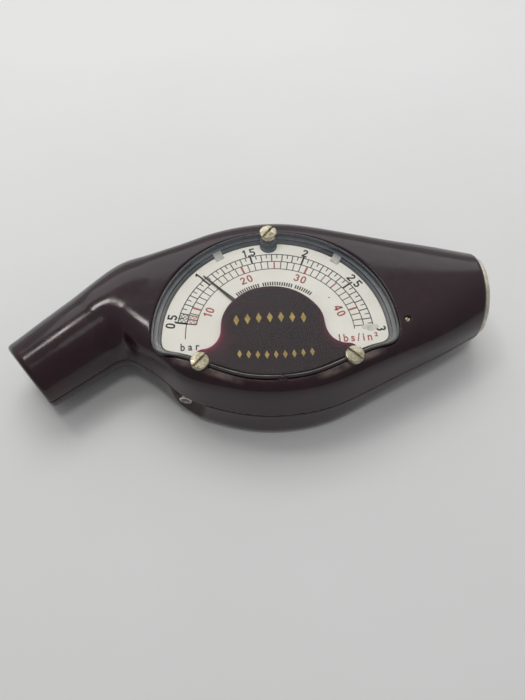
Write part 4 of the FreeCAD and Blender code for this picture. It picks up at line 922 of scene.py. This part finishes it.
def build_window():
    top, bottom = WINDOW_TOP, SEAT_Z + 0.10
    lens = window_piece("window_lens", [
        (-0.12, bottom), (0.0, bottom + 0.12), (0.0, top - 0.53), (-0.10, top - 0.42),
        (-0.46, top - 0.085), (-0.56, top - 0.03), (-0.66, top - 0.006), (-0.74, top),
        (-0.95, top)], CLEAR, sharp=30)
    carve(lens, screw_drums(1.42, bottom - 1, top + 1)
          + screw_drums(HEAD_HOLE_R, HEAD_SEAT, top + 1))
    lens.data.materials.clear()
    for mat in (CLEAR, CLEAR_BEVEL, CLEAR_SIDE, FROSTED_GLINT):
        lens.data.materials.append(mat)
    face, bevel, side, glint_band = range(4)
    for polygon in lens.data.polygons:
        polygon.use_smooth = True
        tilt = polygon.normal.z
        polygon.material_index = face
        if abs(tilt) < 0.2:
            polygon.material_index = side
        # low band of the bevel takes the pale edge colour: painted highlight along the lens edge, partly frosted
        # wear
        elif 0.2 < tilt < 0.97:
            low_on_bevel = polygon.center.z / MM < top - 0.45
            polygon.material_index = glint_band if low_on_bevel else bevel
    lens.data.set_sharp_from_angle(angle=math.radians(20))
    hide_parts("window")


def build_gasket():
    bottom, top = SEAT_Z + 0.02, 22.0
    inner, outer = 0.03, 0.47
    gasket = window_piece("gasket_cord", [
        (inner, bottom), (outer, bottom), (outer, top - 0.12), (0.36, top), (0.14, top),
        (inner, top - 0.12)], SEAL_SHADED, sharp=40, ring=True)
    carve(gasket, screw_drums(1.42, SEAT_Z - 1, WINDOW_TOP + 1))
    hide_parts("window_gasket")


def build_tray():
    """Floor, sloping wall, and thin lip on the window seat."""
    floor = window_piece("tray_floor", [(-1.55, 18.62), (-1.55, 19.17)], SLATE,
                         sharp=30)
    carve(floor, screw_drums(HEAD_R, 17, 24) + [drum(0, 0, 1.5, 17, 24)])
    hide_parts("dial_tray")
    wall = [(-1.0, 18.3), (-0.97, 20.42), (-1.15, 20.47), (-1.72, 19.32), (-1.72, 19.19),
            (-1.5, 19.19), (-1.5, 18.3)]
    lip = [(-0.98, SEAT_Z + 0.015), (0.0, SEAT_Z + 0.015), (0.0, SEAT_Z + 0.07),
           (-0.98, SEAT_Z + 0.07)]
    for name, sections, hole_r in (("tray_wall", wall, HEAD_R), ("window_lip", lip, 2.44)):
        ring = window_piece(name, sections, LIP_SHADED, sharp=35, ring=True)
        face_outward(ring)
        carve(ring, screw_drums(hole_r, 17, 24))


def build_tray_clips():
    """Two bent tabs at the edge of the dial."""
    # radius from the pointer axis, height above the dial, thickness
    bends = [(26.25, 0.03, 0.18), (27.30, 0.06, 0.28), (27.75, 0.30, 0.30),
             (28.25, 0.78, 0.22), (28.45, 0.86, 0.16)]
    half, chamfer_x, chamfer_z = 1.15, 1.08, 0.06
    for letter, x, y in (("a", -13.5, 24.1), ("b", 17.4, 21.9)):
        angle = math.atan2(y, x)
        c, s = math.cos(angle), math.sin(angle)
        rings = []
        for radius, rise, thick in bends:
            section = ((-half, 0.0), (-half, thick - chamfer_z), (-chamfer_x, thick),
                       (chamfer_x, thick), (half, thick - chamfer_z), (half, 0.0))
            rings.append([(radius * c - w * s, radius * s + w * c, DIAL_Z + rise + dz)
                          for w, dz in section])
        verts, faces = loft(rings)
        face_outward(mesh_piece("tray_clip_" + letter, verts, faces, CLIP_METAL,
                                sharp=30))


# ---------------------------------------------------------------- mask
def build_mask():
    outline = closed_curve((MASK_ARCH + MASK_EDGE)[::-1], 400)
    plan = PlanField(outline, pad=1.0, cell=0.12)
    below_arch = PlanField([(-60, -4.4)] + MASK_ARCH + [(60, -4.5), (60, -60), (-60, -60)],
                           pad=0.0, cell=0.35)
    middle, half = (MASK_LOW + MASK_TOP) / 2, (MASK_TOP - MASK_LOW) / 2

    def field(x, y, z):
        shape = blend_max(plan(x, y), np.abs(z - middle) - half, 0.08)
        for screw in SCREWS[1:]:
            shape = cut(shape, radius_from(x, y, screw) - HEAD_R)
        return shape

    mask = field_piece("mask_plate", field, (-21.0, -12.8, MASK_LOW - 0.15),
                       (21.0, 14.2, MASK_TOP + 0.15), 0.13, MASK_PRINT)
    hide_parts("window_mask")

    # painted magenta light fading inward from the arched edge, strongest low down and on the -x side
    x, y, _ = points_mm(mask)
    depth = np.clip(-below_arch(x, y), 0, 20)
    lowness = np.clip((6.0 - y) / 8.0, 0, 1)
    side = np.where(x < 0, 1.0, 0.6)
    set_attribute(mask, "edge", (0.35 + 0.65 * lowness * side)
                  * np.exp(-depth / (0.35 + 0.75 * lowness * side)))


# ---------------------------------------------------------------- flat print
def clock(bar):
    """Angle of a pressure on the dial, clockwise from +y."""
    return math.radians(4.5 + 67.6 * (bar - 1.75))


def polar(radius, angle):
    return (radius * math.sin(angle), radius * math.cos(angle))


class Print:
    """Thin flat shapes between two heights, gathered into one mesh."""

    def __init__(self, bottom=PRINT_Z, top=PRINT_TOP):
        self.bottom, self.top = bottom, top
        self.verts, self.faces = [], []

    def poly(self, points):
        n, b = len(points), len(self.verts)
        area = sum(points[i][0] * points[(i + 1) % n][1] - points[(i + 1) % n][0] * points[i][1]
                   for i in range(n))
        if area < 0:
            points = list(reversed(points))
        self.verts += [(x, y, z) for z in (self.bottom, self.top) for x, y in points]
        self.faces += [tuple(range(b + n - 1, b - 1, -1)), tuple(range(b + n, b + 2 * n))]
        self.faces += [(b + i, b + (i + 1) % n, b + n + (i + 1) % n, b + n + i)
                       for i in range(n)]

    def tick(self, angle, inner, outer, width):
        x, y = math.sin(angle), math.cos(angle)
        dx, dy = math.cos(angle) * width / 2, -math.sin(angle) * width / 2
        self.poly([(x * inner + dx, y * inner + dy), (x * outer + dx, y * outer + dy),
                   (x * outer - dx, y * outer - dy), (x * inner - dx, y * inner - dy)])

    def arc(self, start, end, radius, width, steps=96):
        inner, outer = radius - width / 2, radius + width / 2
        for i in range(steps):
            p = start + (end - start) * i / steps
            q = start + (end - start) * (i + 1) / steps
            self.poly([polar(inner, p), polar(outer, p), polar(outer, q), polar(inner, q)])

    def line(self, p, q, half_width):
        dx, dy = q[0] - p[0], q[1] - p[1]
        length = math.hypot(dx, dy)
        nx, ny = -dy / length * half_width, dx / length * half_width
        self.poly([(p[0] + nx, p[1] + ny), (q[0] + nx, q[1] + ny),
                   (q[0] - nx, q[1] - ny), (p[0] - nx, p[1] - ny)])

    def ribbon(self, points, width, closed=False):
        """Line of the given width through points, with mitred corners."""
        points = np.asarray(points, float)
        step = np.roll(points, -1, 0) - points if closed else np.diff(points, axis=0)
        step = step / np.linalg.norm(step, axis=1)[:, None]
        normal = np.stack([-step[:, 1], step[:, 0]], 1)
        if closed:
            before = np.roll(normal, 1, 0)
            mitre = normal + before
        else:
            before = np.concatenate([normal[:1], normal])
            mitre = before + np.concatenate([normal, normal[-1:]])
        mitre /= np.linalg.norm(mitre, axis=1)[:, None]
        mitre *= (width / 2 / np.maximum((mitre * before).sum(1), 0.4))[:, None]
        a, b = points + mitre, points - mitre
        for i in range(len(points) if closed else len(points) - 1):
            j = (i + 1) % len(points)
            self.poly([tuple(a[i]), tuple(a[j]), tuple(b[j]), tuple(b[i])])

    def mesh(self):
        mesh = bpy.data.meshes.new("print")
        mesh.from_pydata((np.array(self.verts) * MM).tolist(), [], self.faces)
        mesh.update()
        return mesh


# ---------------------------------------------------------------- figures
WIDE, TALL, STROKE = 1.42, 2.4, 0.42      # one figure and its stroke


def bow(x, y, radius, start, end, radius_y=None, steps=14):
    """Points round part of an ellipse, between two angles in degrees."""
    angles = [math.radians(start + (end - start) * i / steps) for i in range(steps + 1)]
    return [(x + radius * math.cos(a), y + (radius_y or radius) * math.sin(a))
            for a in angles]


def zero_outline():
    points, power = [], 2.7
    for i in range(32):
        c, s = math.cos(2 * math.pi * i / 32), math.sin(2 * math.pi * i / 32)
        k = (abs(c) ** power + abs(s) ** power) ** (-1 / power)
        points.append((WIDE / 2 + (WIDE - STROKE) / 2 * c * k,
                       TALL / 2 + (TALL - STROKE) / 2 * s * k))
    return points


HALF = STROKE / 2
TWO_R = (WIDE - STROKE) / 2
# Width and open centre lines of each figure; only the zero is a closed line
FIGURES = {
    "0": (WIDE, [zero_outline()]),
    "1": (0.85, [[(0.60, 0), (0.60, TALL)], [(0.52, TALL - 0.22), (0.06, TALL - 0.66)]]),
    "2": (WIDE, [bow(WIDE / 2, TALL - HALF - TWO_R, TWO_R, 175, -35)
                 + [(HALF + 0.04, STROKE * 0.8)],
                 [(0, HALF), (WIDE, HALF)]]),
    "3": (WIDE, [bow(WIDE / 2 - 0.05, TALL - HALF - 0.47, 0.47, 165, -80),
                 bow(WIDE / 2 - 0.03, HALF + 0.55, 0.53, 85, -165, 0.55)]),
    "4": (WIDE, [[(0.70 * WIDE, 0), (0.70 * WIDE, TALL)],
                 [(0.66 * WIDE, TALL - 0.1), (0.14, 0.36 * TALL)],
                 [(0, 0.29 * TALL), (WIDE, 0.29 * TALL)]]),
    "5": (WIDE, [[(WIDE - 0.06, TALL - HALF), (0.14, TALL - HALF)],
                 [(0.26, TALL), (0.24, 0.50 * TALL)],
                 bow(WIDE / 2 - 0.06, HALF + 0.56, 0.54, 128, -160, 0.56)]),
    ".": (0.40, [[(0.0, HALF), (STROKE, HALF)]]),
}


def print_figures(pen, text, x, y, angle, gap=0.32, scale=1.0):
    """Figures centred at (x, y), reading along the tangent at the clock angle."""
    total = sum(FIGURES[char][0] for char in text) + gap * (len(text) - 1)
    start = -total / 2
    c, s = math.cos(angle), math.sin(angle)
    for char in text:
        width, lines = FIGURES[char]
        for line in lines:
            points = []
            for px, py in line:
                u, v = (start + px) * scale, (py - TALL / 2) * scale
                points.append((x + u * c + v * s, y - u * s + v * c))
            pen.ribbon(points, STROKE * scale, closed=char == "0")
        start += width + gap


def lettering(text, size, x, y, bold, spacing):
    """Mesh of a line of type centred at (x, y), narrowed and turned by one degree."""
    narrow, angle = 0.85, math.radians(1)
    thick = PRINT_TOP - PRINT_Z
    curve = bpy.data.curves.new("unit", "FONT")
    curve.body = text
    curve.size = size
    curve.align_x = "CENTER"
    curve.align_y = "CENTER"
    curve.offset = bold
    curve.extrude = thick / 2
    curve.space_character = spacing
    curve.resolution_u = 6
    obj = bpy.data.objects.new("unit", curve)
    bpy.context.scene.collection.objects.link(obj)
    bpy.context.view_layer.update()
    depsgraph = bpy.context.evaluated_depsgraph_get()
    mesh = bpy.data.meshes.new_from_object(obj.evaluated_get(depsgraph))
    bpy.data.objects.remove(obj)
    c, s = math.cos(angle), math.sin(angle)
    px, py, pz = np.array([tuple(v.co) for v in mesh.vertices]).T
    px = (px - (px.min() + px.max()) / 2) * narrow
    py = py - (py.min() + py.max()) / 2
    placed = np.stack([x + px * c - py * s, y + px * s + py * c,
                       PRINT_Z + thick / 2 + pz], 1) * MM
    mesh.vertices.foreach_set("co", placed.astype(np.float32).ravel())
    mesh.update()
    mesh.materials.clear()
    return mesh


def joined(name, meshes, mat):
    """One piece of dial print from several meshes."""
    bm = bmesh.new()
    for mesh in meshes:
        bm.from_mesh(mesh)
    bmesh.ops.remove_doubles(bm, verts=bm.verts, dist=1e-8)
    merged = bpy.data.meshes.new(name)
    bm.to_mesh(merged)
    bm.free()
    add_object(name, merged, mat)


# ---------------------------------------------------------------- dial print
def print_scales(black, red, brown):
    """Outer band in bar, inner band in pounds per square inch."""
    start, end = clock(0.5), clock(3.0)
    black.arc(start, end, RING_OUT, 0.23)
    black.arc(math.radians(-91.5), end, RING_MID, 0.21)
    brown.arc(start, end, RING_IN, 0.20)
    for i in range(51):
        angle = clock(0.5 + 0.05 * i)
        if i % 10 == 0:
            black.tick(angle, RING_MID - 0.1, RING_OUT + 0.55, 0.46)
        elif i % 2 == 0:
            black.tick(angle, RING_MID, RING_OUT, 0.25)
        else:
            black.tick(angle, (RING_MID + RING_OUT) / 2 - 0.1, RING_OUT, 0.23)
    bar_per_psi = 0.0689476
    for psi in range(8, 44):
        angle = clock(psi * bar_per_psi)
        if psi % 10 == 0:
            red.tick(angle, RING_IN - 0.1, RING_MID, 0.50)
        elif psi % 5 == 0:
            red.tick(angle, RING_IN, RING_MID, 0.36)
        else:
            brown.tick(angle, RING_IN, RING_MID, 0.22)
    brown.tick(start, RING_IN, RING_MID, 0.22)


def print_hatching(pen, inner, outer, half_width):
    """Cross-hatched cell at the low end of a band."""
    start, end = clock(0.5), clock(0.6)
    pitch, slant = 2.8, 2.4               # lines per cell, and pitches crossed by each
    for lean in (1, -1):
        for i in range(-3, 7):
            u0, u1 = i / pitch, (i + lean * slant) / pitch
            inside = []
            for t in np.linspace(0, 1, 41):
                u = u0 + (u1 - u0) * t
                if 0 <= u <= 1:
                    inside.append((inner + (outer - inner) * t, u))
            if len(inside) < 6:
                continue
            p, q = (polar(r, start + (end - start) * u) for r, u in (inside[0], inside[-1]))
            pen.line(p, q, half_width)
    pen.tick(start, inner, outer, 0.26)
    pen.tick(end, inner, outer, 0.26)


def print_numbers(black, red):
    # text, bar, radius, turn in degrees
    for text, bar, radius, turn in (
            ("0.5", 0.5, 25.6, 0.3), ("1", 1.0, 25.65, 0.0), ("1.5", 1.5, 25.35, 0.0),
            ("2", 2.0, 25.6, -0.2), ("2.5", 2.5, 25.65, 0.2), ("3", 3.0, 25.8, 0.6)):
        angle = clock(bar) + math.radians(turn)
        print_figures(black, text, *polar(radius, angle), angle)
    # text, x, y, clock angle in degrees
    for text, x, y, angle in (("10", -15.99, 6.86, -66.8), ("20", -6.39, 16.23, -21.5),
                              ("30", 7.29, 15.85, 24.7), ("40", 16.32, 5.73, 70.7)):
        print_figures(red, text, x, y, math.radians(angle), gap=0.5, scale=0.93)


def build_dial_print():
    black, red, brown = Print(), Print(), Print()
    print_scales(black, red, brown)
    print_hatching(black, RING_MID, RING_OUT, 0.055)
    print_hatching(red, RING_IN, RING_MID, 0.05)
    print_numbers(black, red)
    # three rows of fine strokes above the mask: first angle in degrees, count
    for first, count in ((-37.0, 11), (-8.5, 13), (24.0, 8)):
        for i in range(count):
            black.tick(math.radians(first + i * 2.35), 14.15, 15.25, 0.33)
    bar = lettering("bar", size=2.8, x=-20.6, y=-2.75, bold=0.045, spacing=1.6)
    psi = lettering("lbs/in²", size=3.0, x=20.0, y=-2.05, bold=0.06, spacing=1.45)
    joined("scale_print_black", [black.mesh(), bar], BLACK)
    joined("scale_print_red", [red.mesh(), psi], RED)
    joined("scale_print_brown", [brown.mesh()], BROWN)


def build_dial_marks():
    """Worn patch on the dial at the top of the scale, and a small speck."""
    phase = np.random.default_rng(4).uniform(0, 6.28, 4)
    x, y, radius_x, radius_y = 23.3, 0.62, 2.1, 0.85
    points = []
    for i in range(40):
        t = 2 * math.pi * i / 40
        wobble = (1 + 0.13 * math.sin(3 * t + phase[0]) + 0.08 * math.sin(5 * t + phase[1])
                  + 0.06 * math.sin(9 * t + phase[2]))
        points.append((x + radius_x * wobble * math.cos(t),
                       y + radius_y * wobble * math.sin(t)))
    for name, outline, mat in (("dial_wear", points, STAIN),
                               ("dial_speck", circle(14.1, 9.75, 0.17, 12), BLACK)):
        mark = Print(top=STAIN_TOP)
        mark.poly(outline)
        add_object(name, mark.mesh(), mat)


def build_lozenges():
    """Two rows of gold lozenges on the mask, each row slightly arched."""
    upper = [(-9.3 + 2.73 * i, 3.55 + 0.45 * (1 - (i - 3) ** 2 / 9.0)) for i in range(7)]
    lower = [(-8.8 + 2.15 * i, -5.85 - 0.45 * (1 - (i - 4) ** 2 / 16.0) - 0.03 * i)
             for i in range(9)]
    gold = Print(MASK_TOP - 0.01, MASK_TOP + 0.02)
    for row, half_width, half_height in ((upper, 0.72, 1.5), (lower, 0.55, 1.1)):
        for x, y in row:
            gold.poly([(x - half_width, y), (x, y - half_height), (x + half_width, y),
                       (x, y + half_height)])
    add_object("mask_lozenges", gold.mesh(), GOLD)


# ---------------------------------------------------------------- pointer
def build_pointer():
    """Tapered blade with a chamfered top, round hub and flared tail."""
    angle = math.radians(134.2)
    c, s = math.cos(angle), math.sin(angle)
    # (distance from the pivot, half width) of the blade; (distance, side) round the tail
    blade = [(24.8, 0.15), (20.0, 0.25), (14.0, 0.46), (6.0, 0.70), (2.2, 0.85)]
    tail = [(-2.0, 1.0), (-5.0, 0.9), (-7.4, 1.7), (-8.6, 1.2),
            (-8.6, -1.2), (-7.4, -1.7), (-5.0, -0.9), (-2.0, -1.0)]
    base, shoulder, top = POINTER_Z, POINTER_Z + 0.10, POINTER_Z + 0.22

    def turn(r, w):
        return (r * c - w * s, r * s + w * c)

    verts, faces, rows = [], [], []
    for r, w in blade:
        rows.append([len(verts) + i for i in range(6)])
        verts += [(*turn(r, side), z) for side, z in (
            (-w, base), (-w, shoulder), (-w * 0.22, top),
            (w * 0.22, top), (w, shoulder), (w, base))]
    for p, q in zip(rows[:-1], rows[1:]):
        for i in range(6):
            j = (i + 1) % 6
            faces.append((p[i], q[i], q[j], p[j]))
    faces += [tuple(rows[0]), tuple(reversed(rows[-1]))]
    for outline, height in ((circle(0.0, 0.0, 2.3, 40), 0.22),
                            ([turn(r, w) for r, w in tail], 0.2)):
        more_verts, more_faces = prism(outline, POINTER_Z, POINTER_Z + height)
        faces += [tuple(len(verts) + i for i in face) for face in more_faces]
        verts += more_verts
    needle = mesh_piece("needle", verts, faces, BLACK_ENAMEL, "pointer",
                        sharp=20)
    face_outward(needle)
    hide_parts("pointer")


# ---------------------------------------------------------------- screws
def slotted_screw(name, centre, head_r, seat, top, slot_angle, slot_width, slot_depth,
                  shank_r, shank_end, margin, floor, cell):
    """Domed slotted head on a plain shank; margin and floor bound the meshed box."""
    c, s = math.cos(math.radians(slot_angle)), math.sin(math.radians(slot_angle))
    dome = 0.028

    def field(x, y, z):
        x, y = x - centre[0], y - centre[1]
        radius = np.sqrt(x * x + y * y)
        head = blend_max(radius - head_r, z - top + dome * radius * radius, 0.32)
        head = blend_max(head, seat - z, 0.12)
        across = np.abs(-x * s + y * c)
        slot = blend_max(across - slot_width / 2, (top - slot_depth) - z, 0.1)
        shank = overlap(radius - shank_r, z - seat - 0.1, shank_end - z)
        return np.minimum(cut(head, slot, 0.14), shank)

    return field_piece(name, field, (centre[0] - margin, centre[1] - margin, floor),
                       (centre[0] + margin, centre[1] + margin, top + 0.3), cell, NICKEL)


def build_window_screws():
    shank_base = 4.6
    shank_length = HEAD_SEAT - 1.55 - shank_base
    up = (0, 0, 1)
    for letter, centre, slot_angle in zip("abc", SCREWS, SLOT_ANGLES):
        screw = slotted_screw(
            "window_screw_" + letter, centre, head_r=HEAD_R, seat=HEAD_SEAT, top=HEAD_TOP,
            slot_angle=slot_angle, slot_width=0.55, slot_depth=0.75, shank_r=SHANK_R,
            shank_end=HEAD_SEAT - 1.6, margin=2.6, floor=HEAD_SEAT - 1.9,
            cell=0.09)
        turned("window_screw_shank_" + letter,
               [(0, 0), (0.9, 0), (SHANK_R, 0.3), (SHANK_R, shank_length), (0, shank_length)],
               (*centre, shank_base), up, NICKEL)
        if letter != "a":
            continue
        # the +y screw stands in a coated boss with a sleeve
        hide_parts("window_screws")
        coat = [(1.28, 18.75), (2.2, 18.75), (2.2, SEAT_Z - 0.02), (2.12, SEAT_Z + 0.03),
                (1.28, SEAT_Z + 0.03)]
        sleeve = [(1.24, SEAT_Z + 0.1), (1.38, SEAT_Z + 0.1), (1.38, HEAD_SEAT - 0.04),
                  (1.24, HEAD_SEAT - 0.04)]
        for name, profile in (("screw_boss_coat", coat), ("screw_sleeve", sleeve)):
            turned(name, profile, (*centre, 0), up, SLATE, segments=48,
                   sharp=50, closed=True)


def build_set_screw():
    screw = slotted_screw(
        "set_screw", SET_SCREW, head_r=0.7, seat=20.0, top=22.05, slot_angle=62.0,
        slot_width=0.24, slot_depth=0.35, shank_r=0.7, shank_end=17.8, margin=1.0,
        floor=17.4, cell=0.08)
    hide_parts("case_set_screw")


# ---------------------------------------------------------------- button and tail cap
def build_button():
    button = turned("push_button", [
        (1.10, 2.2), (1.10, 0.74), (1.16, 0.62), (1.46, 0.62), (1.60, 0.76), (1.65, 1.0),
        (1.65, 3.3), (1.10, 3.3)], BUTTON, PRESS_DIR, BRIGHT_NICKEL,
        body="release_button", segments=48, sharp=50, closed=True)
    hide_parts("release_button")
    # near-black core in the hollow of the button: painted shade inside the hollow
    turned("push_button_shade_core", [(0, 1.95), (0.6, 1.9), (1.08, 1.75), (1.08, 3.2), (0, 3.2)],
           BUTTON, PRESS_DIR, RUBBER, body="release_button", segments=40, sharp=50)
    bush = turned("button_bush", [
        (1.74, 1.5), (1.86, 1.38), (2.3, 1.38), (2.46, 1.5), (2.5, 1.65), (2.5, 3.2),
        (1.74, 3.2)], BUTTON, PRESS_DIR, DULL_BRASS, segments=48, sharp=50, closed=True)
    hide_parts("button_ring")


def build_tail_cap():
    cap = turned("tail_disc", [
        (0, -4.0), (8.2, -4.0), (8.5, -3.7), (8.5, 0.03), (9.95, 0.03), (10.14, 0.10),
        (10.2, 0.25), (10.2, 0.82), (10.1, 1.02), (9.8, 1.2), (8.2, 1.6), (6.0, 1.88),
        (3.0, 2.05), (0, 2.1)], (TAIL_X, TAIL_Y, PART_Z), (1, 0, 0), CREAM,
        segments=96, sharp=40)
    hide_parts("tail_cap")


def paint_frame_nodes():
    """Materials of the frame's own pieces."""
    by_slot = {
        "brass": BRASS, "bronze": BRONZE, "copper": COPPER, "spring_steel": STEEL,
        "grey_enamel": SLATE, "white_enamel": WHITE, "rubber": RUBBER,
        "aged_nickel": NICKEL, "black_enamel": BLACK_ENAMEL, "cream_metal": CREAM,
        "bakelite": BAKELITE, "clear_plastic": CLEAR, "mask_print": MASK_PRINT}
    slots = {part["node"]: part["material_slot"] for part in frame["record"]["subparts"]}
    for name, obj in frame["nodes"].items():
        obj.data.materials.clear()
        obj.data.materials.append(by_slot[slots[name]])


# ---------------------------------------------------------------- studio, in metres
def build_floor():
    mesh = bpy.data.meshes.new("floor")
    mesh.from_pydata([(-3, -2, 0), (3, -2, 0), (3, 4, 0), (-3, 4, 0)], [], [(0, 1, 2, 3)])
    floor = bpy.data.objects.new("floor", mesh)
    bpy.context.scene.collection.objects.link(floor)
    mesh.materials.append(floor_paint())


def build_world():
    """Even surround, brighter towards +y."""
    world = bpy.data.worlds.new("studio")
    bpy.context.scene.world = world
    world.use_nodes = True
    nodes = Nodes(world.node_tree)
    background = world.node_tree.nodes["Background"]
    y = nodes.separate(nodes.add("TexCoord").outputs["Generated"], "Y")
    nodes.wire(nodes.remap(y, span=(-0.55, 0.45), to=(0.23, 0.54)), background.inputs[1])
    background.inputs[0].default_value = (0.98, 0.985, 1.0, 1)


def area_light(name, azimuth, elevation, distance, target, size, radiance, color):
    """Rectangular lamp placed by angles in degrees about the origin, aimed at target."""
    light = bpy.data.lights.new(name, "AREA")
    light.shape = "RECTANGLE"
    light.size, light.size_y = size
    light.energy = radiance * math.pi * light.size * light.size_y
    light.color = color
    obj = bpy.data.objects.new(name, light)
    bpy.context.scene.collection.objects.link(obj)
    a, e = math.radians(azimuth), math.radians(elevation)
    obj.location = place = (distance * math.cos(a) * math.cos(e),
                            distance * math.sin(a) * math.cos(e), distance * math.sin(e))
    aim = Vector(target) - Vector(place)
    obj.rotation_euler = aim.to_track_quat("-Z", "Y").to_euler()
    return obj


def build_lights():
    window = area_light("window_light", azimuth=95, elevation=38, distance=1.0,
                        target=(0, 0, 0), size=(1.2, 0.5), radiance=1.0,
                        color=(0.98, 0.99, 1.0))
    window.visible_diffuse = False
    key = area_light("soft_key", azimuth=100, elevation=60, distance=1.0, target=(0, 0, 0),
                     size=(0.6, 0.5), radiance=3.3, color=(1.0, 0.995, 0.985))
    key.visible_glossy = False
    area_light("lamp", azimuth=137, elevation=62, distance=0.9, target=(-0.05, 0, 0.02),
               size=(0.11, 0.11), radiance=12.0, color=(1.0, 0.97, 0.92))
    ceiling = area_light("ceiling", azimuth=-75, elevation=84, distance=1.0,
                         target=(0, 0, 0.02), size=(0.16, 0.16), radiance=13.0,
                         color=(1.0, 0.99, 0.97))
    ceiling.visible_glossy = False
    spark = area_light("ceiling_spark", azimuth=-75, elevation=84, distance=1.0,
                       target=(0, 0, 0.02), size=(0.06, 0.06), radiance=25.0,
                       color=(1.0, 0.99, 0.96))
    spark.visible_diffuse = False


def build_camera():
    data = bpy.data.cameras.new("camera")
    data.sensor_fit = "AUTO"
    data.sensor_width = 36.0
    data.lens = 30.857142857
    data.clip_start = 0.005
    camera = bpy.data.objects.new("camera", data)
    bpy.context.scene.collection.objects.link(camera)
    pitch, yaw = math.radians(60.838), math.radians(2.9)    # downward, and towards +x
    back = -Vector((math.sin(yaw) * math.cos(pitch), math.cos(yaw) * math.cos(pitch),
                    -math.sin(pitch)))
    right = Vector((math.cos(yaw), -math.sin(yaw), 0))
    matrix = Matrix((right, back.cross(right), back)).transposed().to_4x4()
    matrix.translation = Vector((-6.8526, -74.0745, 124.9175 + DIAL_Z)) * MM
    camera.matrix_world = matrix
    bpy.context.scene.camera = camera
    bpy.context.scene.view_settings.view_transform = "Standard"


build_shells()
build_window()
build_gasket()
build_tray()
build_tray_clips()
build_mask()
build_dial_print()
build_dial_marks()
build_lozenges()
build_pointer()
build_window_screws()
build_set_screw()
build_button()
build_tail_cap()
paint_frame_nodes()
build_floor()
build_world()
build_lights()
build_camera()
